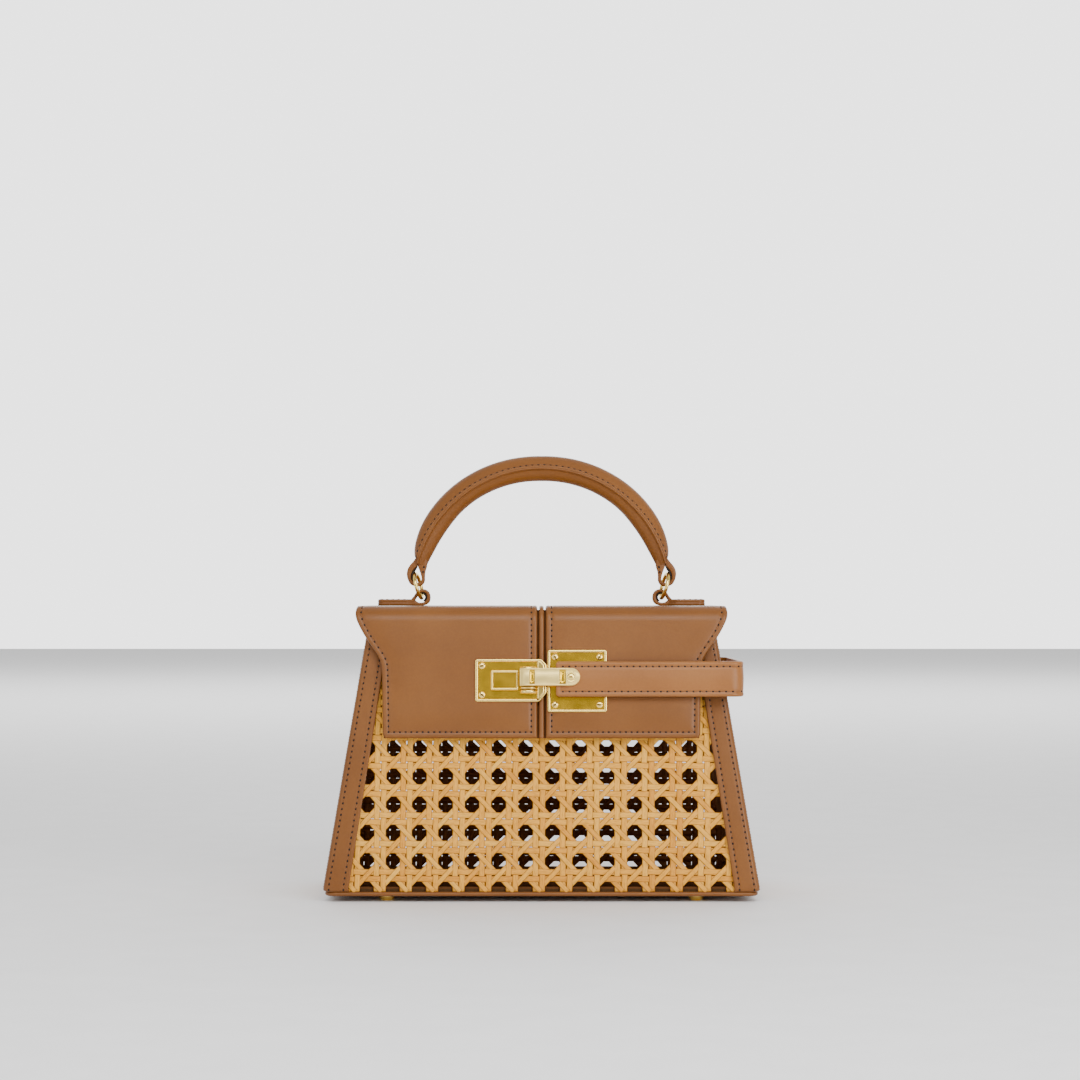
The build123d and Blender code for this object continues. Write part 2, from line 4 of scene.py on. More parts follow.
import bmesh
import bpy
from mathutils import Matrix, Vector


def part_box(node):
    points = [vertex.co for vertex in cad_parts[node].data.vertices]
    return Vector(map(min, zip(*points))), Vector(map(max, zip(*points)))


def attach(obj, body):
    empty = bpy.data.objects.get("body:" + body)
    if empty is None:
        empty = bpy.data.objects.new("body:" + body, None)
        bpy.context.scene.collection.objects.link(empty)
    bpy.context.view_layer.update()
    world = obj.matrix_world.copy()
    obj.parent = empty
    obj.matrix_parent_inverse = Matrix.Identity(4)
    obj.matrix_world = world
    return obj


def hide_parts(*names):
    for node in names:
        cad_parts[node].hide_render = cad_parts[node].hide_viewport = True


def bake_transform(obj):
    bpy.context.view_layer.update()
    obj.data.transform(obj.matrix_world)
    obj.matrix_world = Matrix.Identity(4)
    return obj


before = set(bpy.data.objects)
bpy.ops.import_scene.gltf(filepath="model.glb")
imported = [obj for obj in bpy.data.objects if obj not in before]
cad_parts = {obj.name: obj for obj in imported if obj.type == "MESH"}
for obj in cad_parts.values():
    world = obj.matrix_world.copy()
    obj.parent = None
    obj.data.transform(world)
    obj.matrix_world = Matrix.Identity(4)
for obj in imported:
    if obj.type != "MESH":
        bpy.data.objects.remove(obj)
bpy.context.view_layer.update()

# The looks of a small box bag: woven cane walls in a leather frame, a padded leather flap
# with a metal clasp, a side strap and an arched handle. Lengths are in millimetres, and MM
# turns them into Blender's metres.

MM = 0.001
SEED = 7
random.seed(SEED)


def low(node):
    """A CAD node's lowest corner, in millimetres."""
    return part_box(node)[0] / MM


def high(node):
    """A CAD node's highest corner, in millimetres."""
    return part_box(node)[1] / MM


# ---- sizes, read from the frame where a node's box gives them ----

FOOT_HEIGHT = low("base_panel").z
WALL_BOTTOM = low("corner_band_front_left").z
BODY_TOP = high("corner_band_front_left").z
BASE_HALF_WIDTH = high("base_piping").x
BASE_HALF_DEPTH = high("base_piping").y
TOP_HALF_WIDTH = 80.0
TOP_HALF_DEPTH = 33.0
SIDE_SLOPE = (BASE_HALF_WIDTH - TOP_HALF_WIDTH) / (BODY_TOP - FOOT_HEIGHT)
FRONT_SLOPE = (BASE_HALF_DEPTH - TOP_HALF_DEPTH) / (BODY_TOP - FOOT_HEIGHT)
FLAP_BOTTOM = low("flap_panel_left").z
FLAP_TOP = high("flap_panel_left").z
FLAP_GAP = 1.8
LINING = 0.8
FLAP_LEATHER = 2.2
FLAP_UNDERSIDE = FLAP_TOP - LINING - FLAP_LEATHER
TAIL_BOTTOM = low("flap_tail").z
CHANNEL = -high("flap_panel_left").x
STRAP_LOW = low("strap").z
STRAP_HIGH = high("strap").z
STRAP_TIP = low("strap").x
STRAP_SIDE = high("strap").x
STRAP_THICKNESS = 2.6
TAIL_END = low("strap_tail").x
CLASP_HEIGHT = 103.4
BAND = 1.4
BAND_WIDTH = 11.8
BAND_TAPER = 1.4
HANDLE_CENTRE = 140.2
HANDLE_RADIUS = 62.0


def half_width(z):
    """Half the box's width at height z."""
    return BASE_HALF_WIDTH - SIDE_SLOPE * (z - FOOT_HEIGHT)


def half_depth(z):
    """Half the box's depth at height z."""
    return BASE_HALF_DEPTH - FRONT_SLOPE * (z - FOOT_HEIGHT)


def band_width(z):
    """Width of a corner band's wing at height z."""
    return BAND_WIDTH - BAND_TAPER * (z - FOOT_HEIGHT) / (BODY_TOP - FOOT_HEIGHT)


def smooth(x):
    """0 below 0, 1 above 1, and an S curve between."""
    x = min(max(x, 0.0), 1.0)
    return x * x * (3 - 2 * x)


# ---- materials ----

WHITE = (1.0, 1.0, 1.0)


class Nodes:
    """A material under construction, with short calls for the nodes that it needs."""

    def __init__(self, name):
        self.material = bpy.data.materials.new(name)
        self.material.use_nodes = True
        self.tree = self.material.node_tree
        self.shader = self.tree.nodes["Principled BSDF"]

    def add(self, kind, **values):
        node = self.tree.nodes.new(kind)
        for key, value in values.items():
            if key in node.inputs:
                node.inputs[key].default_value = value
            else:
                setattr(node, key, value)
        return node

    def link(self, a, out, b, into):
        self.tree.links.new(a.outputs[out], b.inputs[into])

    def base(self, node, out="Color"):
        """Takes the surface's colour from a node."""
        self.link(node, out, self.shader, "Base Color")

    def rough(self, node, lowest, highest):
        """Takes the roughness from a noise node, between two values."""
        mapped = self.add("ShaderNodeMapRange", **{"To Min": lowest, "To Max": highest})
        self.link(node, "Fac", mapped, "Value")
        self.link(mapped, "Result", self.shader, "Roughness")

    def set(self, **values):
        for key, value in values.items():
            self.shader.inputs[key.replace("_", " ")].default_value = value

    def noise(self, scale, detail=3.0, rough=0.5, coords=None, stretch=None):
        node = self.add("ShaderNodeTexNoise", Scale=scale, Detail=detail, Roughness=rough)
        source = coords or self.coords()
        if stretch:
            mapping = self.add("ShaderNodeMapping", Scale=stretch)
            self.link(source[0], source[1], mapping, "Vector")
            self.link(mapping, "Vector", node, "Vector")
        else:
            self.link(source[0], source[1], node, "Vector")
        return node

    def coords(self, out="Object"):
        if not hasattr(self, "_coords"):
            self._coords = self.add("ShaderNodeTexCoord")
        return self._coords, out

    def ramp(self, source, out, stops):
        node = self.add("ShaderNodeValToRGB")
        node.color_ramp.elements[0].position = stops[0][0]
        node.color_ramp.elements[0].color = (*stops[0][1], 1)
        node.color_ramp.elements[1].position = stops[-1][0]
        node.color_ramp.elements[1].color = (*stops[-1][1], 1)
        for position, color in stops[1:-1]:
            element = node.color_ramp.elements.new(position)
            element.color = (*color, 1)
        self.link(source, out, node, "Fac")
        return node

    def multiply(self, share, a, b):
        """Multiplies two colours by a share: each is a colour or (node, output)."""
        node = self.add("ShaderNodeMix", data_type="RGBA", blend_type="MULTIPLY")
        node.inputs[0].default_value = share
        for value, index in ((a, 6), (b, 7)):
            if isinstance(value[0], float):
                node.inputs[index].default_value = (*value, 1)
            else:
                self.link(*value, node, index)
        return node

    def bump(self, layers):
        """Chains bump nodes: each layer is (node, output, strength, distance in metres)."""
        last = None
        for node, out, strength, distance in layers:
            bump = self.add("ShaderNodeBump", Strength=strength, Distance=distance)
            self.link(node, out, bump, "Height")
            if last:
                self.link(last, "Normal", bump, "Normal")
            last = bump
        self.link(last, "Normal", self.shader, "Normal")


def speckled_material(name, scale, detail, rough, stops, bump=0.0, **values):
    """A material whose colour varies in fine specks."""
    m = Nodes(name)
    speck = m.noise(scale, detail, rough)
    m.base(m.ramp(speck, "Fac", stops))
    if bump:
        m.bump([(speck, "Fac", bump, 0.0003)])
    m.set(**values)
    return m.material


def leather_material(name, dark, mid, light, roughness=0.40, shine=0.36):
    """Smooth calf leather: fine pebble grain, faint creases and slow changes of tone."""
    m = Nodes(name)
    color = m.ramp(m.noise(28, 4, 0.55), "Fac", [(0.3, dark), (0.52, mid), (0.75, light)])
    grain = m.noise(900, 3, 0.6)
    flecks = m.ramp(grain, "Fac", [(0.35, (0.86, 0.84, 0.82)), (0.65, WHITE)])
    m.base(m.multiply(0.5, (color, "Color"), (flecks, "Color")), 2)
    cells = m.add("ShaderNodeTexVoronoi", Scale=1500.0, feature="DISTANCE_TO_EDGE")
    m.link(*m.coords(), cells, "Vector")
    creases = m.noise(160, 5, 0.6)
    m.bump([(cells, "Distance", 0.10, 0.0002), (grain, "Fac", 0.10, 0.0002), (creases, "Fac", 0.10, 0.0005)])
    m.rough(m.noise(60, 3, 0.5), roughness - 0.05, roughness + 0.08)
    m.set(Specular_IOR_Level=shine)
    return m.material


def thread_material():
    """Waxed tan thread, twisted."""
    m = Nodes("thread")
    twist = m.add("ShaderNodeTexWave", Scale=700.0, Distortion=2.0, wave_type="BANDS",
                  bands_direction="DIAGONAL")
    m.link(*m.coords(), twist, "Vector")
    m.base(m.ramp(twist, "Fac", [(0.0, (0.15, 0.050, 0.010)), (1.0, (0.27, 0.100, 0.024))]))
    m.bump([(twist, "Fac", 0.4, 0.0002)])
    m.set(Roughness=0.6)
    return m.material


def cane_material(name, shade):
    """Split rattan: a golden skin with fibres along each strand and its own tone per strand."""
    m = Nodes(name)
    uv = m.coords("UV")
    along = m.noise(1.0, 4, 0.6, uv, (0.35, 16.0, 1.0))
    streak = m.noise(1.0, 2, 0.5, uv, (0.08, 42.0, 1.0))
    tone = m.add("ShaderNodeAttribute", attribute_name="tone")
    skin = m.ramp(tone, "Fac", [
        (0.0, (0.70, 0.29, 0.028)), (0.45, (0.84, 0.39, 0.042)), (1.0, (0.92, 0.49, 0.075)),
    ])
    fibres = m.ramp(along, "Fac", [(0.3, (0.66, 0.60, 0.52)), (0.6, WHITE)])
    dark_fibres = m.ramp(streak, "Fac", [(0.33, (0.62, 0.52, 0.40)), (0.42, WHITE)])
    # painted shade: the strand's long edges are darker than its middle, for the shade in the gaps between
    # strands
    place = m.add("ShaderNodeSeparateXYZ")
    m.link(*uv, place, "Vector")
    dark = (0.42, 0.32, 0.22)
    edge = m.ramp(place, "Y", [(0.16, dark), (0.27, WHITE), (0.56, WHITE), (0.67, dark)])
    color = m.multiply(0.75, (skin, "Color"), (fibres, "Color"))
    color = m.multiply(0.6, (color, 2), (dark_fibres, "Color"))
    color = m.multiply(1.0, (color, 2), (edge, "Color"))
    m.base(m.multiply(1.0, (color, 2), shade), 2)
    m.bump([(along, "Fac", 0.35, 0.0003), (streak, "Fac", 0.25, 0.0002)])
    m.rough(along, 0.42, 0.62)
    m.set(Specular_IOR_Level=0.22)
    return m.material


def gold_material(name, roughness, color):
    """Gold-plated metal with faint polishing marks."""
    m = Nodes(name)
    marks = m.noise(1.0, 3, 0.55, m.coords(), (90.0, 90.0, 2400.0))
    smear = m.noise(240, 3, 0.5)
    m.base(m.ramp(smear, "Fac", [(0.3, tuple(0.93 * c for c in color)), (0.7, color)]))
    m.rough(smear, roughness * 0.7, roughness * 1.4)
    m.bump([(marks, "Fac", 0.05, 0.0001)])
    m.set(Metallic=1.0)
    return m.material


TAN = leather_material("tan_leather", (0.175, 0.060, 0.0095), (0.198, 0.069, 0.011), (0.222, 0.080, 0.014))
# painted light: the strap's leather is a lighter copy of the tan, for the strap's brighter look under the
# lamps
STRAP_LIT_TAN = leather_material(
    "strap_leather", (0.265, 0.098, 0.022), (0.300, 0.112, 0.026), (0.330, 0.128, 0.031))
LINING_LEATHER = leather_material(
    "lining_leather", (0.085, 0.033, 0.012), (0.11, 0.043, 0.016), (0.13, 0.052, 0.020), 0.7, 0.0)
THREAD = thread_material()
# painted shade: near-black ovals where the needle holes are, and the dark strips inside the loops round the
# rings
HOLE_SHADE = speckled_material(
    "needle_hole", 1200, 2, 0.5, [(0.3, (0.006, 0.003, 0.002)), (0.8, (0.022, 0.009, 0.004))], Roughness=0.9)
CANE = cane_material("cane", WHITE)
# painted shade: a darker copy of the cane for the strands' sides and their faces towards the inside of the
# bag
CANE_SHADED = cane_material("cane_back", (0.42, 0.32, 0.24))
GOLD = gold_material("polished_gold", 0.2, (1.0, 0.72, 0.20))
# painted shade: a darker copy of the gold for the flat fields and the tongue's bands, for the dark that they
# reflect
GOLD_SHADED_FIELD = gold_material("shaded_field_gold", 0.22, (0.78, 0.47, 0.030))
# rougher than the polished gold, and a lighter copy of it: painted light for the tongue's bright face
GOLD_BRUSHED_LIT = gold_material("brushed_lit_gold", 0.40, (1.0, 0.76, 0.26))
# painted shade: dark metal in the screws' slots and the post's grooves
RECESS_SHADE = speckled_material(
    "recess_shade_metal", 900, 2, 0.5, [(0.3, (0.10, 0.05, 0.012)), (0.8, (0.20, 0.11, 0.03))],
    Roughness=0.5, Metallic=0.7)
BOARD = speckled_material(
    "fibre_board", 700, 5, 0.7, [(0.3, (0.05, 0.024, 0.010)), (0.7, (0.08, 0.040, 0.016))], bump=0.3,
    Roughness=0.85, Specular_IOR_Level=0.0)

# The materials of one piece, and the numbers of the ones that only some faces have.
LEATHER_SET = [TAN, THREAD, HOLE_SHADE]
STRAP_SET = [STRAP_LIT_TAN, THREAD, HOLE_SHADE]
METAL_SET = [GOLD, GOLD_SHADED_FIELD, RECESS_SHADE]
THREAD_SLOT, HOLE_SHADE_SLOT = 1, 2
FIELD_SLOT, RECESS_SHADE_SLOT = 1, 2


# ---- mesh building ----


def add_object(name, data):
    """An object in the scene that shows the given data."""
    made = bpy.data.objects.new(name, data)
    bpy.context.scene.collection.objects.link(made)
    return made


class Builder:
    """Gathers vertices and faces in millimetres, and makes one object of them."""

    def __init__(self):
        self.verts = []
        self.faces = []
        self.slots = []
        self.uvs = {}
        self.tones = []

    def vert(self, place):
        self.verts.append(tuple(place))
        return len(self.verts) - 1

    def face(self, corners, slot=0):
        self.faces.append(tuple(corners))
        self.slots.append(slot)

    def grid(self, rows, slot=0, flip=False):
        """Faces between rows of vertex numbers of equal length."""
        for a, b in zip(rows, rows[1:]):
            for i in range(len(a) - 1):
                quad = (a[i], a[i + 1], b[i + 1], b[i])
                self.face(reversed(quad) if flip else quad, slot)

    def ring_faces(self, rings, slot=0):
        """Faces between closed rings of vertex numbers."""
        for a, b in zip(rings, rings[1:]):
            n = len(a)
            for i in range(n):
                j = (i + 1) % n
                self.face((a[i], a[j], b[j], b[i]), slot)

    def loop(self, centre, u, w, count):
        """Vertices of an ellipse round centre, with the half axes u and w."""
        turns = [math.tau * k / count for k in range(count)]
        return [self.vert(centre + u * math.cos(t) + w * math.sin(t)) for t in turns]

    def tube(self, rings, slot=0):
        """Faces between closed rings of vertex numbers, with both ends shut."""
        self.ring_faces(rings, slot)
        self.face(reversed(rings[0]), slot)
        self.face(rings[-1], slot)

    def flip(self):
        """Turns all faces over."""
        self.faces = [tuple(reversed(face)) for face in self.faces]

    def object(self, name, replaced, body=None, materials=LEATHER_SET):
        """Makes the piece that stands in for some CAD nodes, moving with a body when one is given."""
        mesh = bpy.data.meshes.new(name)
        mesh.from_pydata([tuple(c * MM for c in v) for v in self.verts], [], self.faces)
        for material in materials:
            mesh.materials.append(material)
        mesh.polygons.foreach_set("material_index", self.slots)
        mesh.polygons.foreach_set("use_smooth", [True] * len(self.faces))
        if not self.uvs:
            work = bmesh.new()
            work.from_mesh(mesh)
            bmesh.ops.recalc_face_normals(work, faces=work.faces)
            work.to_mesh(mesh)
            work.free()
        mesh.update()
        made = add_object(name, mesh)
        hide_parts(*replaced)
        if body:
            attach(made, body)
        return made

    def metal(self, name, node, body="flap", materials=METAL_SET):
        """Makes a piece of metal that stands in for one CAD node."""
        self.object(name, [node], body, materials)


def edge_steps(length, fine, pitch=2.0, count=None):
    """Distances along a length: the fine ones from each end, and even steps between."""
    inside = [d for d in fine if d < length * 0.45]
    start, stop = inside[-1], length - inside[-1]
    count = count or max(1, round((stop - start) / pitch))
    middle = [start + (stop - start) * i / count for i in range(1, count)]
    return inside + middle + [length - d for d in reversed(inside)]


def merged(steps):
    """Lengths in order, without any that nearly coincide."""
    steps = sorted(set(round(s, 3) for s in steps))
    return [s for i, s in enumerate(steps) if i == 0 or s - steps[i - 1] > 0.05]


def corner_trim(distance, radius):
    """How far a rounded corner cuts in at a distance from the piece's end."""
    distance = max(distance, 0.0)
    return radius - math.sqrt(radius**2 - (radius - distance) ** 2) if distance < radius else 0.0


# Distances from a leather edge at which a sheet has rows, close together over the rounded edge
# and the sewn groove.
EDGE = [0.0, 0.08, 0.25, 0.55, 1.0, 1.5, 2.0, 2.4, 2.7, 3.0, 3.5, 4.5, 6.5]


def leather_rise(distance, thickness, rounding, groove=2.7, pad=0.25):
    """Height of a leather piece's outer face at a distance from its edge."""
    edge = min(distance, rounding)
    rise = thickness - rounding + math.sqrt(max(rounding**2 - (rounding - edge) ** 2, 0))
    if groove:
        rise -= 0.34 * math.exp(-(((distance - groove) / 0.55) ** 2))
        rise += pad * smooth((distance - groove - 0.3) / 6)
    return rise


def leather_sheet(b, us, vs_of, place, rise_of, back=0.0, slot=0):
    """A closed sheet over a grid: us are rows, vs_of(u) its columns, place(u, v, h) the space
    above the sheet's inner face, and rise_of(u, v) the outer face's height."""
    outer = [[b.vert(place(u, v, rise_of(u, v))) for v in vs_of(u)] for u in us]
    inner = [[b.vert(place(u, v, back)) for v in vs_of(u)] for u in us]
    b.grid(outer, slot)
    b.grid(inner, slot, flip=True)
    b.grid([[row[0] for row in outer], [row[0] for row in inner]], slot)
    b.grid([[row[-1] for row in outer], [row[-1] for row in inner]], slot, flip=True)
    b.grid([outer[0], inner[0]], slot, flip=True)
    b.grid([outer[-1], inner[-1]], slot)


def stitches(b, at, length, pitch=2.6, bite=1.5):
    """A row of stitches: at(s) gives the point on the leather and its outward normal."""
    count = max(1, int(length / pitch))
    pitch = length / count
    for i in range(count):
        middle = (i + 0.5) * pitch
        stitch(b, at(middle - bite / 2), at(middle), at(middle + bite / 2))
        needle_hole(b, *at(middle - pitch / 2), at(middle - pitch / 2 + 0.1)[0])
    needle_hole(b, *at(length), at(length - 0.1)[0])


def sew(b, place, rise_of, path, length, pitch=2.6, bite=1.5):
    """A row of stitches along path(t) -> (u, v) on a leather sheet."""

    def at(t):
        u, v = path(t)
        return place(u, v, rise_of(u, v)), (place(u, v, 2) - place(u, v, 1)).normalized()

    stitches(b, at, length, pitch, bite)


THREAD_RADIUS = 0.25
# A stitch from end to end: share of its length, share of the thread's radius, and lift.
STITCH_SHAPE = [(0.0, 0.10, -0.15), (0.14, 0.8, 0.0), (0.5, 1.0, 0.08), (0.86, 0.8, 0.0), (1.0, 0.10, -0.15)]


def stitch(b, start, middle, end):
    """One stitch: a rounded thread that dips into the leather at both ends."""
    (p0, n0), (p1, _), (p2, n2) = start, middle, end
    along = (p2 - p0).normalized()
    rings = []
    for share, width, lift in STITCH_SHAPE:
        point = p0.lerp(p1, share * 2) if share < 0.5 else p1.lerp(p2, share * 2 - 1)
        n = n0.lerp(n2, share).normalized()
        side = along.cross(n).normalized()
        radius = THREAD_RADIUS * width
        rings.append(b.loop(point + n * lift, side * radius, n * radius, 6))
    b.tube(rings, THREAD_SLOT)


def needle_hole(b, point, normal, ahead):
    """A flat oval on the leather where the thread goes in, near black: the needle hole's painted shade."""
    along = (ahead - point).normalized()
    side = normal.cross(along).normalized()
    top = b.loop(point + normal * 0.17, along * 0.54, side * 0.44, 8)
    bottom = [b.vert(Vector(b.verts[i]) - normal * 0.3) for i in top]
    b.tube([bottom, top], HOLE_SHADE_SLOT)


# ---- the cane walls ----

CANE_PITCH_ACROSS = 12.46
CANE_PITCH_UP = 12.89
CANE_FIRST_ROW = 18.6
CANE_SHIFT = -1.2
STRAND_WIDTH = 2.80
DIAGONAL_WIDTH = 2.32
STRAND_THICKNESS = 0.42
PAIR_OFFSET = 1.58
PAIR_SPREAD = 0.12
CANE_MIDDLE = BAND + 0.75
CANE_CROSSING = STRAND_THICKNESS * 0.52
CANE_OVER = STRAND_THICKNESS * 0.95


def wall(side):
    """A wall's half width and its distance from the middle, both by height, its slope, and
    wall_point(across, out, z), which gives a point in the bag's space."""
    facing = side in ("front", "back")
    sign = 1 if side in ("back", "right") else -1

    def wall_point(x, out, z):
        return Vector((-sign * x, sign * out, z)) if facing else Vector((sign * out, sign * x, z))

    if facing:
        return half_width, half_depth, FRONT_SLOPE, wall_point
    return half_depth, half_width, SIDE_SLOPE, wall_point


def clip(p, d, polygon):
    """The stretch of the line p + t d that lies inside a convex polygon, or None."""
    t0, t1 = -1e9, 1e9
    n = len(polygon)
    for i in range(n):
        ax, ay = polygon[i]
        bx, by = polygon[(i + 1) % n]
        nx, ny = -(by - ay), bx - ax
        dist = nx * (p[0] - ax) + ny * (p[1] - ay)
        speed = nx * d[0] + ny * d[1]
        if abs(speed) < 1e-9:
            if dist < 0:
                return None
            continue
        t = -dist / speed
        if speed > 0:
            t0 = max(t0, t)
        else:
            t1 = min(t1, t)
    return (t0, t1) if t1 - t0 > 1.0 else None


def strand(b, place, start, direction, reach, height, tone, width, spread=None, sample=1.5):
    """One flat strand of cane with a rounded skin, from reach[0] to reach[1]."""
    t0, t1 = reach
    count = max(2, round((t1 - t0) / sample))
    side = (-direction[1], direction[0])
    phase = random.uniform(0, 40)
    sway = random.uniform(-0.12, 0.12)
    section = [(-0.5, -0.25), (-0.5, 0.10), (-0.28, 0.42), (0.28, 0.42), (0.5, 0.10), (0.5, -0.25)]
    rings = []
    for i in range(count + 1):
        t = t0 + (t1 - t0) * i / count
        shift = sway * math.sin(t * 0.09 + phase) + (spread(t) if spread else 0.0)
        x = start[0] + direction[0] * t + side[0] * shift
        y = start[1] + direction[1] * t + side[1] * shift
        h = height(t)
        ring = []
        for across, up in section:
            w = across * width
            ring.append(b.vert(place(x + side[0] * w, y + side[1] * w, h + up * STRAND_THICKNESS)))
            b.tones.append(tone)
        rings.append((ring, t))
    n = len(section)
    for (ra, ta), (rb, tb) in zip(rings, rings[1:]):
        for i in range(n):
            j = (i + 1) % n
            # the strand's rounded top takes the cane; its sides and its face towards the inside of the bag
            # take the painted-shade cane
            b.face((ra[i], rb[i], rb[j], ra[j]), 0 if 1 <= i <= 3 else 1)
            u = (ta + phase, tb + phase)
            va, vb = i / n, (i + 1) / n
            b.uvs[len(b.faces) - 1] = ((u[0], va), (u[1], va), (u[1], vb), (u[0], vb))
    for ring, order in ((rings[0][0], 1), (rings[-1][0], -1)):
        b.face(ring[::order])
        b.uvs[len(b.faces) - 1] = tuple((phase, k / n) for k in range(n))


def wave(t, period, top):
    """A height that goes between top at t = 0 and -top half a period on, flat at both ends."""
    return top * max(-1.0, min(1.0, 1.45 * math.cos(math.tau * t / period)))


def cane_wall(side):
    """All the strands of one wall, woven six ways: two upright, two level and two diagonal."""
    across, reach, slope, wall_point = wall(side)
    stretch = math.sqrt(1 + slope**2)
    lean = math.atan(slope)
    shift = CANE_SHIFT if across is half_width else 0.0
    p, q = CANE_PITCH_ACROSS, CANE_PITCH_UP * stretch

    def place(x, v, h):
        # hand weaving: the mesh opens slightly away from the middle
        x += 1.5 * (x / 75) ** 2
        z = CANE_FIRST_ROW + v / stretch
        return wall_point(x, reach(z) - CANE_MIDDLE + h * math.cos(lean), z + h * math.sin(lean))

    z_low, z_high = WALL_BOTTOM + 0.1, BODY_TOP - 3.0
    corner = [across(z) - band_width(z) + 4.5 for z in (z_low, z_high)]
    v_low, v_high = [(z - CANE_FIRST_ROW) * stretch for z in (z_low, z_high)]
    area = [(-corner[0], v_low), (corner[0], v_low), (corner[1], v_high), (-corner[1], v_high)]
    b = Builder()

    def lay(start, direction, height, width, spread=None):
        """Adds the strand along a line, as far as the line lies in the wall."""
        span = clip(start, direction, area)
        if span:
            tone = min(1.0, max(0.0, random.gauss(0.5, 0.2)))
            strand(b, place, start, direction, span, height, tone, width, spread)

    # The two strands of a pair alternate, over one strand of each pair that they cross and under
    # the other, and the pair opens a little at each crossing.
    for upright in (True, False):
        pitch, origin, sign = (q, 0.5 * q, 1) if upright else (p, shift, -1)
        for i in range(-10, 11) if upright else range(-3, 12):
            for k in (-1, 1):
                def height(t, k=k):
                    d = (t - origin) / pitch
                    d = (d - round(d)) * pitch
                    first, second = (math.exp(-((d + e) / 1.3) ** 2) for e in (PAIR_OFFSET, -PAIR_OFFSET))
                    return sign * k * CANE_CROSSING * (first - second)

                def spread(t, k=k):
                    return -sign * k * PAIR_SPREAD * math.cos(math.tau * (t - origin) / pitch)

                if upright:
                    start, direction = (shift + i * p + k * PAIR_OFFSET, 0.0), (0.0, 1.0)
                else:
                    start, direction = (0.0, (i + 0.5) * q + k * PAIR_OFFSET), (1.0, 0.0)
                lay(start, direction, height, STRAND_WIDTH, spread)
    # Diagonals pass half way between neighbouring holes, over one set of pairs and under the other.
    length = math.hypot(p, q)
    for rising in (1, -1):
        for m in range(-24, 25):
            # the line crosses a level pair midway between two uprights at t = 0
            start = (shift + 0.5 * p, m * q + 0.5 * q)
            lay(start, (p / length, rising * q / length),
                lambda t: wave(t, length, CANE_OVER * rising), DIAGONAL_WIDTH)
    made = b.object(f"cane_weave_{side}", [f"cane_{side}"], "body", [CANE, CANE_SHADED])
    layer = made.data.uv_layers.new(name="strand")
    for polygon in made.data.polygons:
        for loop, uv in zip(polygon.loop_indices, b.uvs[polygon.index]):
            layer.data[loop].uv = uv
    tones = made.data.attributes.new("tone", "FLOAT", "POINT")
    tones.data.foreach_set("value", b.tones)


# ---- the leather frame of the box ----


def corner_band(name, sx, sy):
    """A band folded round one upright corner, with two lines of stitches on each wing."""
    fold = 2.6
    arc = fold * math.pi / 2
    seam = 2.4

    def place(z, v, h):
        # v runs from the front wing's inner edge, round the fold, to the side wing's inner edge
        wing = band_width(z) - fold
        out = fold + h - BAND
        foot = max(1 - (z - WALL_BOTTOM) / 2.2, 0.0)
        tuck = 2.2 * (1 - math.sqrt(1 - foot**2)) * 0.6
        x0, y0 = half_width(z) - fold - tuck, half_depth(z) - fold - tuck
        if v < wing:
            x, y = x0 - (wing - v), y0 + out
        elif v > wing + arc:
            x, y = x0 + out, y0 - (v - wing - arc)
        else:
            t = (v - wing) / fold
            x, y = x0 + out * math.sin(t), y0 + out * math.cos(t)
        return Vector((sx * x, sy * y, z))

    def total(z):
        return 2 * (band_width(z) - fold) + arc

    def rise(z, v):
        side = min(v, total(z) - v)
        end = min(z - WALL_BOTTOM, BODY_TOP - z)
        wing = band_width(z) - fold
        line = min(abs(v - seam), abs(total(z) - v - seam), abs(v - wing), abs(v - wing - arc))
        return leather_rise(min(side, end + 0.2), BAND, 0.5, None) - 0.16 * math.exp(-((line / 0.35) ** 2))

    def columns(z):
        wing = band_width(z) - fold
        half = [0, 0.1, 0.3, 0.6, 1.2, 2.0, 2.4, 2.8]
        half += [2.8 + (wing - 3.6) * k / 4 for k in (1, 2, 3, 4)]
        half += [wing - 0.4, wing]
        bend = [wing + arc * k / 10 for k in range(1, 10)]
        return half + bend + [total(z) - v for v in reversed(half)]

    b = Builder()
    heights = edge_steps(BODY_TOP - WALL_BOTTOM, [0, 0.2, 0.5, 1.0, 1.6, 2.3], 6.0)
    leather_sheet(b, [WALL_BOTTOM + d for d in heights], columns, place, rise)
    if sx * sy > 0:
        b.flip()
    for by_fold in (False, True):
        for far in (False, True):
            def path(s, by_fold=by_fold, far=far):
                z = WALL_BOTTOM + 1.0 + s
                v = band_width(z) - fold if by_fold else seam
                return z, (total(z) - v if far else v)

            sew(b, place, rise, path, BODY_TOP - WALL_BOTTOM - 2.0)
    b.object(f"corner_leather_{name}", [f"corner_band_{name}"], "body")


def mouth_band(side):
    """The leather edge of one wall at the mouth."""
    across, reach, _, wall_point = wall(side)
    bottom = low(f"mouth_band_{side}").z

    def place(z, v, h):
        return wall_point(v * (across(z) - band_width(z)), reach(z) - BAND + h, z)

    def rise(z, v):
        return leather_rise(min(z - bottom, BODY_TOP - z), BAND, 0.45, 2.4, 0.05)

    def path(s):
        z = bottom + 2.3
        return z, (s - width / 2) / (across(z) - band_width(z))

    b = Builder()
    heights = [bottom + d for d in edge_steps(BODY_TOP - bottom, EDGE[:10], 2.0)]
    leather_sheet(b, heights, lambda z: [-1 + 2 * k / 24 for k in range(25)], place, rise)
    width = 2 * (across(bottom) - band_width(bottom)) - 4
    sew(b, place, rise, path, width)
    b.object(f"mouth_leather_{side}", [f"mouth_band_{side}"], "body")


# ---- the flap ----


def rounded(corners, radii, steps):
    """Points of the open line through corners, with all but its ends rounded."""
    points = [Vector(corners[0])]
    for i, radius in enumerate(radii, 1):
        points += round_corner(*(Vector(corners[k]) for k in (i - 1, i, i + 1)), radius, steps)
    return points + [Vector(corners[-1])]


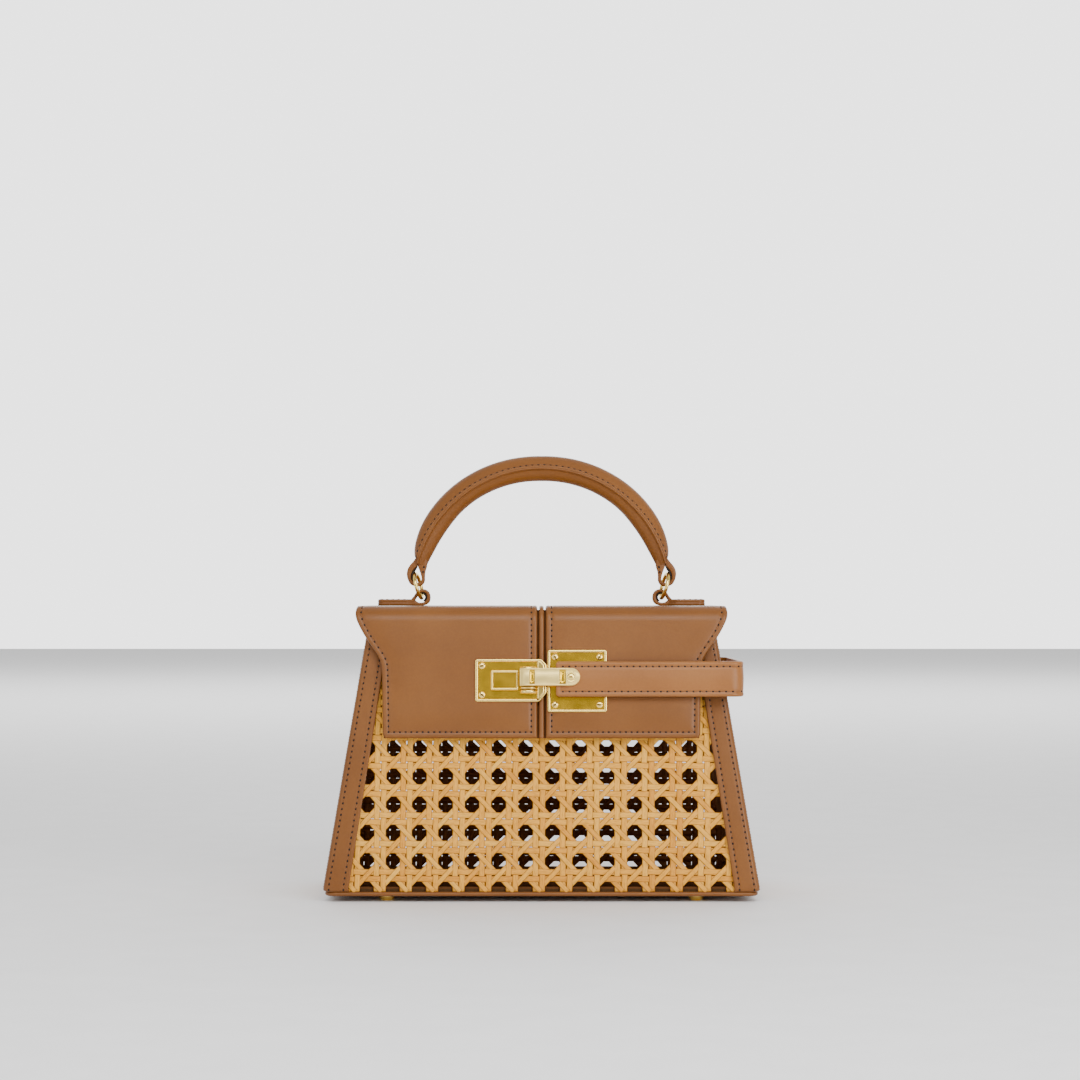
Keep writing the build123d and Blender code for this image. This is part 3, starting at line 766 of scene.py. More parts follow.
class Profile:
    """A line in a plane through given points, measured along its length."""

    def __init__(self, points):
        self.points = points
        self.lengths = [0.0]
        for a, c in zip(points, points[1:]):
            self.lengths.append(self.lengths[-1] + (c - a).length)
        self.total = self.lengths[-1]
        tangents = [(c - a).normalized() for a, c in zip(points, points[1:])]
        self.normals = []
        for i in range(len(points)):
            t = tangents[max(0, i - 1)] + tangents[min(len(tangents) - 1, i)]
            self.normals.append(Vector((-t.y, t.x)).normalized())

    def at(self, s):
        """Position and outward normal at length s."""
        s = min(max(s, 0.0), self.total)
        i = 0
        while i < len(self.lengths) - 2 and self.lengths[i + 1] < s:
            i += 1
        t = (s - self.lengths[i]) / (self.lengths[i + 1] - self.lengths[i])
        normal = self.normals[i].lerp(self.normals[i + 1], t).normalized()
        return self.points[i].lerp(self.points[i + 1], t), normal

    def above(self, s, h):
        """The point h out of the line at length s."""
        point, normal = self.at(s)
        return point + normal * h


FLAP_REACH = FLAP_GAP + LINING
FLAP_FOLD = 5.0
FOLD_STEPS = 10
TAIL_NARROWING = 11.0
HINGE_Y = TOP_HALF_DEPTH + FLAP_LEATHER


def flap_profile(rise, tail):
    """The flap's side view, rise above its inner face, with or without the tail down the back."""
    z = FLAP_UNDERSIDE + rise
    corners = [
        (-half_depth(FLAP_BOTTOM) - FLAP_GAP - rise, FLAP_BOTTOM),
        (-half_depth(z) - FLAP_GAP - rise, z),
    ]
    radii = [FLAP_FOLD + rise]
    if tail:
        corners += [(half_depth(z) + 0.25, z), (half_depth(TAIL_BOTTOM), TAIL_BOTTOM)]
        radii += [2.0]
    else:
        corners += [(HINGE_Y, z)]
    return Profile(rounded(corners, radii, FOLD_STEPS))


# Half the flap's width on its front, from the bottom edge to the fold.
FLAP_OUTLINE = [
    (75.0, 73.2), (90.0, 73.5), (105.0, 73.9), (109.2, 74.3), (112.9, 75.8), (117.0, 78.6), (122.8, 82.5),
    (127.8, 85.2), (131.0, 86.4), (132.8, 86.5), (134.6, 85.9), (136.2, 84.2),
]
FLAP_TOP_EDGE = 84.2


def flap_edge(profile, s, narrow_from):
    """Half the flap's width at length s of its side view. Past narrow_from it gets narrower."""
    on_front = s < profile.lengths[FOLD_STEPS + 1]
    edge = through(FLAP_OUTLINE, profile.at(s)[0].y) if on_front else FLAP_TOP_EDGE
    return edge - TAIL_NARROWING * smooth((s - narrow_from) / 6)


def flap_leather(side):
    """One half of the flap's leather, from its front edge over the top to the tail on the back."""
    sx = -1 if side == "left" else 1
    profile = flap_profile(LINING, True)
    total = profile.total
    fold_end = profile.lengths[FOLD_STEPS + 1]
    inner = CHANNEL
    inset = 2.7

    def outer_edge(s):
        edge = flap_edge(profile, s, total - (FLAP_TOP - TAIL_BOTTOM) - 4)
        return edge - corner_trim(s, 2.0) - corner_trim(total - s, 2.0)

    def place(s, v, h):
        p = profile.above(s, h)
        return Vector((sx * v, p.x, p.y))

    def rise(s, v):
        d = max(min(outer_edge(s) - v, v - inner, s, total - s), 0)
        return leather_rise(d, FLAP_LEATHER, 1.2, inset, 0.6 * (1 - smooth((s - fold_end + 8) / 8)))

    def columns(s):
        return [inner + d for d in edge_steps(outer_edge(s) - inner, EDGE, count=16)]

    b = Builder()
    rows = merged(edge_steps(total, EDGE, 3.0) + profile.lengths[1:-1])
    leather_sheet(b, rows, columns, place, rise)
    if sx > 0:
        b.flip()
    for path, length in (
        (lambda t: (inset, inner + inset + t), outer_edge(3.0) - inner - 2 * inset),
        (lambda t: (total - inset, inner + inset + t), outer_edge(total - 3.0) - inner - 2 * inset),
        (lambda t: (inset + t, inner + inset), total - 2 * inset),
        (lambda t: (inset + t, outer_edge(inset + t) - inset), total - 2 * inset),
    ):
        sew(b, place, rise, path, length)
    nodes = [f"flap_panel_{side}"] + (["flap_tail"] if side == "left" else [])
    made = b.object(f"flap_leather_{side}", nodes)
    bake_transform(made)


def flap_strip(name, node, material, low_rise, top_rise, half=None, crown=0.0):
    """A full-length strip or sheet of the flap: the lining, or the welt in the channel."""
    profile = flap_profile(low_rise, False)
    count = 8 if half else 34

    def edge(s):
        # the sheet narrows over the hinge, as the leather does
        return half or flap_edge(profile, s, profile.total - 6.2) - 0.35

    def place(s, v, h):
        p = profile.above(s, h)
        return Vector((-v, p.x, p.y))

    def rise(s, v):
        return top_rise - low_rise - crown * (v / edge(s)) ** 2

    def columns(s):
        return [edge(s) * (2 * k / count - 1) for k in range(count + 1)]

    rows = edge_steps(profile.total, [0, 0.3, 1.0], 3.0) + profile.lengths[1:-1]
    rows += [profile.total - d for d in (6.2, 5.4, 4.6, 3.8, 3.0, 2.2, 1.4)]
    b = Builder()
    leather_sheet(b, merged(rows), columns, place, rise)
    b.object(name, [node], "flap", [material])


# ---- hardware on the flap ----

CLASP_LEAN = math.atan(FRONT_SLOPE)
CLASP_NORMAL = Vector((0, -math.cos(CLASP_LEAN), math.sin(CLASP_LEAN)))
CLASP_UP = Vector((0, math.sin(CLASP_LEAN), math.cos(CLASP_LEAN)))
CLASP_ORIGIN = Vector((0, -half_depth(CLASP_HEIGHT) - FLAP_REACH - FLAP_LEATHER, CLASP_HEIGHT))


def on_clasp(x, y, h):
    """A point x across, y up and h out of the flap's front face, from clasp height."""
    return CLASP_ORIGIN + Vector((x, 0, 0)) + CLASP_UP * y + CLASP_NORMAL * h


def round_corner(a, c, e, radius, steps):
    """Points of an arc that rounds corner c, between its neighbours a and e."""
    u, w = (a - c).normalized(), (e - c).normalized()
    half = u.angle(w) / 2
    cut = radius / math.tan(half)
    centre = c + (u + w).normalized() * (radius / math.sin(half))
    p, q = c + u * cut - centre, c + w * cut - centre
    turn = p.angle(q)
    return [
        centre + (p * math.sin((1 - k / steps) * turn) + q * math.sin(k / steps * turn)) / math.sin(turn)
        for k in range(steps + 1)
    ]


def outline(corners, radii, steps=5):
    """Makes shape(inset): the closed convex outline through corners, turning anticlockwise,
    with each corner rounded, moved inwards by inset."""
    corners = [Vector(c) for c in corners]
    n = len(corners)

    def shape(inset):
        moved = []
        for i, c in enumerate(corners):
            u = (c - corners[i - 1]).normalized()
            w = (corners[(i + 1) % n] - c).normalized()
            mitre = Vector((-u.y - w.y, u.x + w.x))
            moved.append(c + mitre * inset * 2 / mitre.length_squared)
        points = []
        for i, radius in enumerate(radii):
            points += round_corner(
                moved[i - 1], moved[i], moved[(i + 1) % n], max(radius - inset, 0.08), steps)
        return points

    return shape


def rectangle(left, right, bottom, top, radius, steps=4):
    return outline([(left, bottom), (right, bottom), (right, top), (left, top)], [radius] * 4, steps)


def circle(x, y, radius, count=28):
    """shape(inset) for a circle."""
    return lambda inset: [
        Vector((x + (radius - inset) * math.cos(t), y + (radius - inset) * math.sin(t)))
        for t in (math.tau * k / count for k in range(count))
    ]


def relief(b, shape, steps, place, slots=None, back=0.0):
    """A plate whose surface follows (inset, height) steps in from its outline, closed behind."""
    rings = [[b.vert(place(p.x, p.y, back)) for p in shape(0.0)]]
    for inset, height in steps:
        rings.append([b.vert(place(p.x, p.y, height)) for p in shape(inset)])
    for i in range(len(rings) - 1):
        b.ring_faces(rings[i:i + 2], slots[i] if slots else 0)
    b.face(reversed(rings[0]))
    b.face(rings[-1], slots[-1] if slots else 0)


def screw(b, place, x, y, base, angle, radius=1.55):
    """A domed screw head with a slot."""
    dome = [(0.0, 0.2), (0.1, 0.38), (0.3, 0.52), (0.7, 0.66), (1.1, 0.72)]
    relief(b, circle(x, y, radius), [(inset, base + h) for inset, h in dome], place, back=base)
    ca, sa = math.cos(angle), math.sin(angle)

    def turned(px, py, h):
        return place(x + px * ca - py * sa, y + px * sa + py * ca, base + h)

    # the slot is a dark bar of painted shade set into the dome
    relief(b, rectangle(-1.25, 1.25, -0.22, 0.22, 0.1), [(0.0, 0.74)], turned, [RECESS_SHADE_SLOT] * 2, back=0.3)


PLATE = 1.0
# The lowest and highest points of the plates from clasp height, the boss's left, right, bottom
# and top, and the post's middle.
LOCK_PLATE_REACH = (-11.8, 8.2)
STRAP_PLATE_REACH = (-16.6, 12.5)
BOSS = (-23.5, -10.6, -6.5, 2.8)
POST_X = -6.1
# A plate's raised border: inset from its outline, and height. The flat field inside is a darker gold:
# painted shade for the dark that it reflects.
PLATE_RIM = [(0.0, 0.9), (0.12, 1.22), (0.35, 1.40), (0.75, 1.45), (1.15, 1.40), (1.4, 1.1), (1.45, 1.0),
             (1.5, 1.0), (1.9, 1.0)]
PLATE_SLOTS = [0] * 7 + [FIELD_SLOT] * 3


def clasp_plates():
    """The lock plate with its boss and post, and the strap plate, all on the flap."""
    left, right = low("lock_plate").x, high("lock_plate").x
    bottom, top = LOCK_PLATE_REACH
    b = Builder()
    corners = [(left, bottom), (right - 3.4, bottom), (right, bottom + 4.2), (right, top - 2.6),
               (right - 2.4, top), (left, top)]
    relief(b, outline(corners, [1.3, 2.4, 1.6, 1.0, 1.2, 1.3], 4), PLATE_RIM, on_clasp, PLATE_SLOTS)
    # the solid bevelled end, right of the field
    corners = [(right - 4.6, bottom + 0.7), (right - 3.5, bottom + 0.7), (right - 0.7, bottom + 4.4),
               (right - 0.7, top - 2.8), (right - 2.6, top - 0.7), (right - 4.6, top - 0.7)]
    relief(b, outline(corners, [0.3, 2.0, 1.2, 0.8, 1.0, 0.3], 4),
           [(0.0, 1.3), (0.15, 1.62), (0.7, 1.95), (0.9, 2.0), (1.1, 2.0)], on_clasp, back=0.9)
    b.metal("lock_plate_metal", "lock_plate")

    b = Builder()
    for k, y in enumerate((top - 3.3, bottom + 3.3)):
        screw(b, on_clasp, left + 3.3, y, PLATE, 0.5 + 1.9 * k)
    b.metal("lock_plate_screw_heads", "lock_plate_screws")

    b = Builder()
    relief(b, rectangle(*BOSS, 0.8),
           [(0.0, 2.1), (0.15, 2.45), (0.35, 2.6), (0.8, 2.6), (1.0, 2.45), (1.1, 2.2), (1.15, 2.15),
            (1.2, 2.15), (1.6, 2.15)], on_clasp, PLATE_SLOTS, back=PLATE)
    b.metal("lock_boss_metal", "lock_boss")

    # the post is a half oval bar with rounded ends, with two narrow grooves near its lower end
    b = Builder()
    groove_size = 0.82
    levels = [(-8.0, 0.80), (-7.85, 0.93), (-7.5, 1.0)]
    for groove in (-6.1, -4.7):
        levels += [(groove - 0.3, 1.0), (groove - 0.22, groove_size), (groove + 0.22, groove_size),
                   (groove + 0.3, 1.0)]
    levels += [(3.9, 1.0), (4.25, 0.93), (4.4, 0.80)]
    turns = [math.pi * k / 20 for k in range(21)]
    rings = [[b.vert(on_clasp(POST_X + 4.0 * size * math.cos(t), y, PLATE + 3.2 * size * math.sin(t)))
              for t in turns] for y, size in levels]
    # the grooves' floors take painted shade
    for i, (a, c) in enumerate(zip(levels, levels[1:])):
        b.grid(rings[i:i + 2], RECESS_SHADE_SLOT if a[1] == c[1] == groove_size else 0)
    b.face([ring[0] for ring in rings] + [ring[-1] for ring in reversed(rings)])
    b.face(rings[0])
    b.face(rings[-1])
    b.metal("clasp_post_metal", "clasp_post")

    left, right = low("strap_plate").x, high("strap_plate").x
    bottom, top = STRAP_PLATE_REACH
    b = Builder()
    relief(b, rectangle(left, right, bottom, top, 1.2), PLATE_RIM, on_clasp, PLATE_SLOTS)
    b.metal("strap_plate_metal", "strap_plate")
    b = Builder()
    for i, x in enumerate((left + 3.5, right - 3.5)):
        for j, y in enumerate((bottom + 3.5, top - 3.5)):
            screw(b, on_clasp, x, y, PLATE, 0.8 + 2.3 * i + 1.1 * j)
    b.metal("strap_plate_screw_heads", "strap_plate_screws")


# ---- the strap ----

STRAP_RISE = PLATE + 0.4 + 0.8
TONGUE_RISE = STRAP_RISE + STRAP_THICKNESS


def strap_leather():
    """The side strap in one length: over the flap, round the right side, to its sewn end."""
    width = STRAP_HIGH - STRAP_LOW

    def line_at(z):
        front = -half_depth(z) - FLAP_REACH - FLAP_LEATHER - STRAP_RISE / math.cos(CLASP_LEAN)
        side = STRAP_SIDE - STRAP_THICKNESS
        back = half_depth(z) + 0.4
        corners = [(STRAP_TIP, front), (side, front), (side, back), (TAIL_END, back)]
        return Profile(rounded(corners, [3.2, 3.2], 12))

    low_line, high_line = line_at(STRAP_LOW), line_at(STRAP_HIGH)
    total = low_line.total

    def place(s, v, h):
        share = v / width
        a, na = low_line.at(s)
        c, nc = high_line.at(s * high_line.total / total)
        p = a.lerp(c, share) - na.lerp(nc, share).normalized() * h
        return Vector((p.x, p.y, STRAP_LOW + v))

    def rise(s, v):
        d = min(v, width - v, s + 0.4, total - s)
        return leather_rise(max(d, 0), STRAP_THICKNESS, 1.0, 2.4, 0.2)

    def columns(s):
        trim = corner_trim(min(s, total - s), 1.6)
        return [trim + (width - 2 * trim) * d / width for d in edge_steps(width, EDGE, 2.0)]

    b = Builder()
    rows = merged(edge_steps(total, EDGE[:9], 4.0) + low_line.lengths[1:-1])
    leather_sheet(b, rows, columns, place, rise)
    for path, length in (
        (lambda t: (3.2 + t, 2.4), total - 5.6),
        (lambda t: (3.2 + t, width - 2.4), total - 5.6),
        (lambda t: (total - 2.5, 2.5 + t), width - 5.0),
    ):
        sew(b, place, rise, path, length, 3.0, 1.8)
    made = b.object("strap_leather", ["strap", "strap_tail"], None, STRAP_SET)
    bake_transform(made)


TONGUE_DROP = 0.6
TONGUE_BANDS = [(-5.6, -3.1), (8.2, 11.2)]
# The tongue's section from one side: share of its half width and height, up to its flat middle.
TONGUE_FLAT = 0.78
TONGUE_EDGE = [(1.0, 0.3), (1.0, 1.15), (0.975, 1.35), (0.93, 1.45), (0.83, 1.45), (0.79, 1.2), (0.76, 1.15),
               (0.4, 1.15)]


def tongue():
    """The metal tongue on the strap's end: raised long edges, a rolled left end, and two low
    bands on either side of the flat middle."""
    left, right = low("tongue").x, high("tongue").x
    half = 4.1
    base = TONGUE_RISE
    xs = [left + d for d in (0, 0.12, 0.35, 0.8, 1.5, 2.4, 3.4)] + [-1.0, 1.5, 4.0, 6.5]
    for start, stop in TONGUE_BANDS:
        xs += [start - 0.25, start, start + 0.12, (start + stop) / 2, stop - 0.12, stop, stop + 0.25]
    xs += [right - half + half * math.sin(math.pi / 2 * k / 14) for k in range(15)]
    section = [(-share, rise) for share, rise in TONGUE_EDGE] + [(0.0, 1.15)] + TONGUE_EDGE[::-1]
    b = Builder()
    rings = []
    marks = []
    for x in sorted(xs):
        run = x - (right - half)
        w = max(math.sqrt(max(half**2 - run**2, 0)) if run > 0 else half, 0.05)
        roll = 1.3 * (1 - smooth((x - left) / 3.2)) ** 2
        in_band = any(start <= x <= stop for start, stop in TONGUE_BANDS)
        on_edge = any(abs(x - e) < 0.01 for band in TONGUE_BANDS for e in band)
        ring = []
        for share, rise in section:
            h = base + rise - roll
            if abs(share) < TONGUE_FLAT:
                h += 0.4 * (1 - (share / TONGUE_FLAT) ** 2) - (0.45 if in_band and not on_edge else 0.0)
            ring.append(b.vert(on_clasp(x, share * w - TONGUE_DROP, max(h, base - 0.95))))
        under = max(base + 0.02 - roll, base - 1.0)
        ring += [b.vert(on_clasp(x, side * w - TONGUE_DROP, under)) for side in (1, -1)]
        rings.append(ring)
        marks.append(in_band)
    n = len(rings[0])
    for k, (a, c) in enumerate(zip(rings, rings[1:])):
        for i in range(n):
            j = (i + 1) % n
            # the bands' middles take the painted-shade gold
            slot = FIELD_SLOT if marks[k] and marks[k + 1] and 5 <= i <= 10 else 0
            b.face((a[i], c[i], c[j], a[j]), slot)
    b.face(rings[0])
    b.face(reversed(rings[-1]))
    b.metal("tongue_metal", "tongue", "strap", [GOLD_BRUSHED_LIT, GOLD_SHADED_FIELD])

    # the rivet: a stepped dome
    b = Builder()
    dome = [(0.0, 0.25), (0.1, 0.38), (0.35, 0.42), (0.5, 0.30), (0.7, 0.32), (0.95, 0.62), (1.5, 0.86),
            (2.1, 0.95)]
    top = base + 1.1
    relief(b, circle(right - half, -TONGUE_DROP, 2.5, 36), [(inset, top + h) for inset, h in dome],
           on_clasp, back=top - 0.1)
    b.metal("tongue_rivet_metal", "tongue_rivet", "strap")


# ---- tabs, rings and handle ----


RING_LEAN = math.radians(14.5)
RING_RADIUS = 6.0
RING_WIRE = 0.9
RING_TURN = math.radians(-8)
RING_X = 58.9
RING_Z = 145.6
TAB_X = 56.7
LOOP_WIDTH = 4.8
LOOP_SHADE_WIDTH = 3.8


def cubic(t):
    """Weights of a smooth curve's start, its slope there, its end and its slope there."""
    return 2 * t**3 - 3 * t**2 + 1, t**3 - 2 * t**2 + t, 3 * t**2 - 2 * t**3, t**3 - t**2


def through(points, x):
    """Height at x of a smooth curve through points, which are sorted by x."""
    if x <= points[0][0]:
        return points[0][1]
    if x >= points[-1][0]:
        return points[-1][1]
    i = max(k for k, p in enumerate(points) if p[0] <= x)
    slopes = []
    for k in (i, i + 1):
        a, c = points[max(k - 1, 0)], points[min(k + 1, len(points) - 1)]
        slopes.append((c[1] - a[1]) / (c[0] - a[0]))
    (x0, y0), (x1, y1) = points[i], points[i + 1]
    run = x1 - x0
    start, leave, end, arrive = cubic((x - x0) / run)
    return start * y0 + leave * run * slopes[0] + end * y1 + arrive * run * slopes[1]


def smooth_path(points, steps=5):
    """A finer path that runs smoothly through points."""
    points = [Vector(p) for p in points]
    fine = []
    for i in range(len(points) - 1):
        a, c = points[i], points[i + 1]
        u = (c - points[max(i - 1, 0)]) / 2
        w = (points[min(i + 2, len(points) - 1)] - a) / 2
        for k in range(steps):
            start, leave, end, arrive = cubic(k / steps)
            fine.append(a * start + u * leave + c * end + w * arrive)
    return fine + [points[-1]]


def loop_strip(b, sx, pairs, width, slot=0):
    """A strip round a ring, width wide in Y: pairs are (x, z) points of its inner and outer line."""
    section = [(-0.5, 0.14), (-0.5, 0.86), (-0.45, 1.0), (0.45, 1.0), (0.5, 0.86), (0.5, 0.14),
               (0.45, 0.0), (-0.45, 0.0)]
    rows = []
    for p, q in zip(smooth_path([p for p, _ in pairs]), smooth_path([q for _, q in pairs])):
        points = [(share, p.lerp(q, t)) for share, t in section]
        rows.append([b.vert(Vector((sx * point.x, width * share, point.y))) for share, point in points])
    b.tube(rows, slot)


# The loops on the right side, as (x, z) of the strip's inner and outer line. The shade strips
# are dark pieces of painted shade inside the loops, behind the rings.
TAB_LOOP = [
    ((60.5, 138.8), (62.3, 139.3)), ((59.7, 140.0), (61.1, 140.6)), ((58.9, 141.4), (60.0, 142.3)),
    ((57.8, 142.3), (58.3, 143.6)), ((56.4, 142.6), (56.2, 144.0)), ((55.2, 141.8), (54.3, 143.1)),
    ((54.7, 140.4), (53.2, 141.0)), ((55.0, 139.0), (53.4, 138.4)), ((56.0, 138.0), (54.8, 136.8)),
    ((57.6, 137.6), (57.0, 136.2)), ((59.2, 137.8), (59.2, 136.15)), ((60.5, 138.8), (62.3, 136.2)),
]
TAB_LOOP_SHADE = [
    ((57.6, 141.6), (57.8, 142.35)), ((56.6, 141.6), (56.4, 142.65)), ((55.9, 140.9), (55.2, 141.85)),
    ((55.7, 140.2), (54.7, 140.4)), ((55.9, 139.4), (55.0, 139.0)), ((56.6, 138.6), (56.0, 138.0)),
]
HANDLE_LOOP = [
    ((59.2, 156.2), (60.3, 158.8)), ((59.5, 155.3), (61.6, 157.0)), ((60.6, 154.1), (63.0, 155.4)),
    ((61.7, 152.8), (64.05, 153.5)), ((62.4, 151.2), (64.45, 151.2)), ((62.3, 149.0), (63.9, 148.6)),
    ((61.3, 147.6), (62.5, 146.3)), ((59.6, 147.0), (59.9, 145.3)), ((58.0, 147.4), (57.2, 145.9)),
    ((57.35, 148.7), (55.9, 147.9)), ((57.5, 150.1), (55.8, 150.1)), ((58.0, 151.9), (55.6, 152.4)),
    ((58.6, 153.6), (54.95, 154.5)), ((59.1, 155.0), (54.75, 156.4)), ((59.2, 156.2), (54.9, 158.6)),
]
HANDLE_LOOP_SHADE = [
    ((59.3, 155.0), (59.4, 155.5)), ((60.1, 153.3), (60.7, 154.1)), ((60.8, 152.2), (61.8, 152.8)),
    ((61.1, 151.0), (62.5, 151.2)), ((61.1, 149.4), (62.4, 149.0)), ((60.9, 148.4), (61.4, 147.6)),
]


def tab(side):
    """A leather tab on the flap's top: a loop for the ring, and a double leg sewn down."""
    sx = -1 if side == "left" else 1
    b = Builder()
    loop_strip(b, sx, TAB_LOOP, LOOP_WIDTH)
    # a dark strip of painted shade inside the loop, behind the ring
    loop_strip(b, sx, TAB_LOOP_SHADE, LOOP_SHADE_WIDTH, HOLE_SHADE_SLOT)
    end = high("tab_right").x + 0.5

    def place(x, y, h):
        return Vector((sx * x, sx * y, FLAP_TOP + h))

    # the leg is two layers thick, with a fine groove between them and rounded ends
    corners = [(TAB_X + 4.0, -2.4), (TAB_X + 7.5, -4.5), (end, -4.5), (end, 4.5), (TAB_X + 7.5, 4.5),
               (TAB_X + 4.0, 2.4)]
    leg = outline(corners, [0.6, 2.0, 3.4, 3.4, 2.0, 0.6])
    relief(b, leg,
           [(0.0, 1.25), (0.12, 1.42), (0.12, 1.55), (0.0, 1.75), (0.0, 2.35), (0.12, 2.68), (0.4, 2.93),
            (0.8, 3.0), (1.25, 2.84), (1.7, 3.0), (2.0, 3.03)], place, back=-0.05)
    line = Profile([p for p in leg(1.25) if p.x > TAB_X + 6.5])
    stitches(b, lambda s: (place(*line.at(s)[0], 2.86), Vector((0, 0, 1))), line.total)
    b.object(f"tab_leather_{side}", [f"tab_{side}"], "flap")


def ring(side):
    """A round gold ring that leans outwards and is turned slightly."""
    sx = -1 if side == "left" else 1
    up = Vector((sx * math.sin(RING_LEAN), 0, math.cos(RING_LEAN)))
    centre = Vector((sx * RING_X, 0, RING_Z))
    level = Vector((0, 1, 0))
    across = level * math.cos(RING_TURN) - up.cross(level) * math.sin(RING_TURN) * sx
    normal = up.cross(across)
    b = Builder()
    rings = []
    for k in range(64):
        t = math.tau * k / 64
        out = up * math.cos(t) + across * math.sin(t)
        rings.append(b.loop(centre + out * RING_RADIUS, out * RING_WIRE, normal * RING_WIRE, 16))
    b.ring_faces(rings + rings[:1])
    b.metal(f"ring_gold_{side}", f"ring_{side}", f"ring_{side}", [GOLD])


def handle_point(angle, radius, y):
    """A point of the handle: angle round the arch from +X, in degrees, and distance from its centre."""
    t = math.radians(angle)
    return Vector((radius * math.cos(t), y, HANDLE_CENTRE + radius * math.sin(t)))


# How far each cover swells from the seam, at angles from the handle's end to its top.
UPPER_SWELL = [(15.8, 1.4), (19.0, 2.5), (22.0, 3.5), (28.0, 4.7), (36.0, 5.6), (50.0, 6.2), (66.0, 6.2),
               (90.0, 5.7)]
LOWER_SWELL = [(15.2, 5.0), (17.5, 5.4), (24.0, 6.2), (36.0, 6.5), (50.0, 6.0), (66.0, 6.0), (90.0, 6.4)]
# Half the seam's width, at the same kind of angles.
SEAM_REACH = [(14.0, 3.7), (20.0, 4.7), (34.0, 5.9), (50.0, 6.5), (90.0, 6.5)]
# The covers' section from the seam's edge to the middle: share of the reach, height of the
# pinched seam in millimetres, and share of the swell above it.
HANDLE_SECTION = [
    (1.0, 0.05, 0.0), (1.0, 0.5, 0.0), (0.975, 0.8, 0.0), (0.94, 0.92, 0.0), (0.90, 1.12, 0.0),
    (0.87, 1.14, 0.0), (0.84, 1.32, 0.0), (0.79, 1.5, 0.05), (0.72, 1.5, 0.22), (0.62, 1.5, 0.44),
    (0.50, 1.5, 0.64), (0.36, 1.5, 0.81), (0.18, 1.5, 0.95), (0.0, 1.5, 1.0),
]
STITCH_ROW = 5


def handle_cover(part):
    """The upper or the lower leather cover, a half of the eye-shaped section."""
    upper = part == "upper"
    swell_of = UPPER_SWELL if upper else LOWER_SWELL
    first = swell_of[0][0]
    sign = 1 if upper else -1

    def point(angle, row, side):
        """A point of the cover's outer face: row along the section, side -1 in front and 1 behind."""
        near = min(angle, 180 - angle)
        end = near - first
        cap = math.sqrt(max(1 - (1 - min(max(end, 0) / 2.4, 1)) ** 2, 0)) if upper else 1.0
        share, seam, rise = HANDLE_SECTION[row]
        swell = through(swell_of, near)
        h = seam * cap * min(1.0, swell / 2.5) + max(swell * cap - 1.5, 0) * rise
        y = through(SEAM_REACH, near) * share * (0.35 + 0.65 * cap)
        return handle_point(angle, HANDLE_RADIUS + sign * h, side * y)

    rows = list(range(len(HANDLE_SECTION)))
    ends = [0.0, 0.06, 0.22, 0.5, 0.9, 1.5, 2.4]
    count = 100
    span = 180 - 2 * first
    angles = [first + e for e in ends]
    angles += [first + ends[-1] + (span - 2 * ends[-1]) * k / count for k in range(1, count)]
    angles += [180 - first - e for e in reversed(ends)]
    b = Builder()
    rings = []
    for angle in angles:
        ring = [b.vert(point(angle, row, -1)) for row in rows]
        ring += [b.vert(point(angle, row, 1)) for row in reversed(rows[:-1])]
        reach = abs(b.verts[ring[0]][1])
        # a flat face just past mid height closes the cover
        closing = HANDLE_RADIUS - sign * 0.05
        ring += [b.vert(handle_point(angle, closing, y * reach * 0.96)) for y in (1, 0, -1)]
        rings.append(ring)
    b.tube(rings)

    if upper:
        for side in (-1, 1):
            def at(s, side=side):
                angle = first + 2.0 + math.degrees(s / HANDLE_RADIUS)
                p = point(angle, STITCH_ROW, side)
                along = point(angle + 0.5, STITCH_ROW, side) - p
                across = point(angle, STITCH_ROW + 1, side) - point(angle, STITCH_ROW - 1, side)
                n = along.cross(across).normalized()
                out = handle_point(angle, 1, 0) - handle_point(angle, 0, 0)
                return p, (n if n.dot(out) > 0 else -n)

            stitches(b, at, math.radians(span - 4.0) * HANDLE_RADIUS, 2.8, 1.7)
    nodes = ["handle_upper_cover", "handle_core"] if upper else ["handle_lower_cover"]
    b.object(f"handle_{part}_leather", nodes, "handle")


def handle_loop(side):
    """The leather strip from under the handle's end, round the ring and back up outside."""
    sx = -1 if side == "left" else 1
    b = Builder()
    loop_strip(b, sx, HANDLE_LOOP, LOOP_WIDTH)
    # a dark strip of painted shade inside the loop, behind the ring
    loop_strip(b, sx, HANDLE_LOOP_SHADE, LOOP_SHADE_WIDTH, HOLE_SHADE_SLOT)
    for y in (-1, 1):
        for x, z in ((56.6, 152.2), (56.2, 154.6)):
            point = Vector((sx * x, y * LOOP_WIDTH / 2, z))
            needle_hole(b, point, Vector((0, y, 0)), point + Vector((sx * -0.4, 0, 1)))
    b.object(f"handle_loop_leather_{side}", [f"handle_loop_{side}"], "handle")


def piping():
    """The rolled leather edge round the base, just inside the foot of the walls."""
    radius = 1.0
    inset = radius + 1.2
    x, y = BASE_HALF_WIDTH - inset, BASE_HALF_DEPTH - inset
    path = rectangle(-x, x, -y, y, 4.0, 8)(0.0)
    b = Builder()
    rings = []
    for i, p in enumerate(path):
        t = (path[(i + 1) % len(path)] - path[i - 1]).normalized()
        centre = Vector((p.x, p.y, FOOT_HEIGHT + radius))
        rings.append(b.loop(centre, Vector((t.y, -t.x, 0)) * radius, Vector((0, 0, radius)), 14))
    b.ring_faces(rings + rings[:1])
    b.object("base_piping_leather", ["base_piping"], "body", [TAN])


# ---- CAD pieces that keep their shape ----


def paint(node, material):
    """Gives a CAD node one of the materials."""
    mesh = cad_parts[node].data
    mesh.materials.clear()
    mesh.materials.append(material)


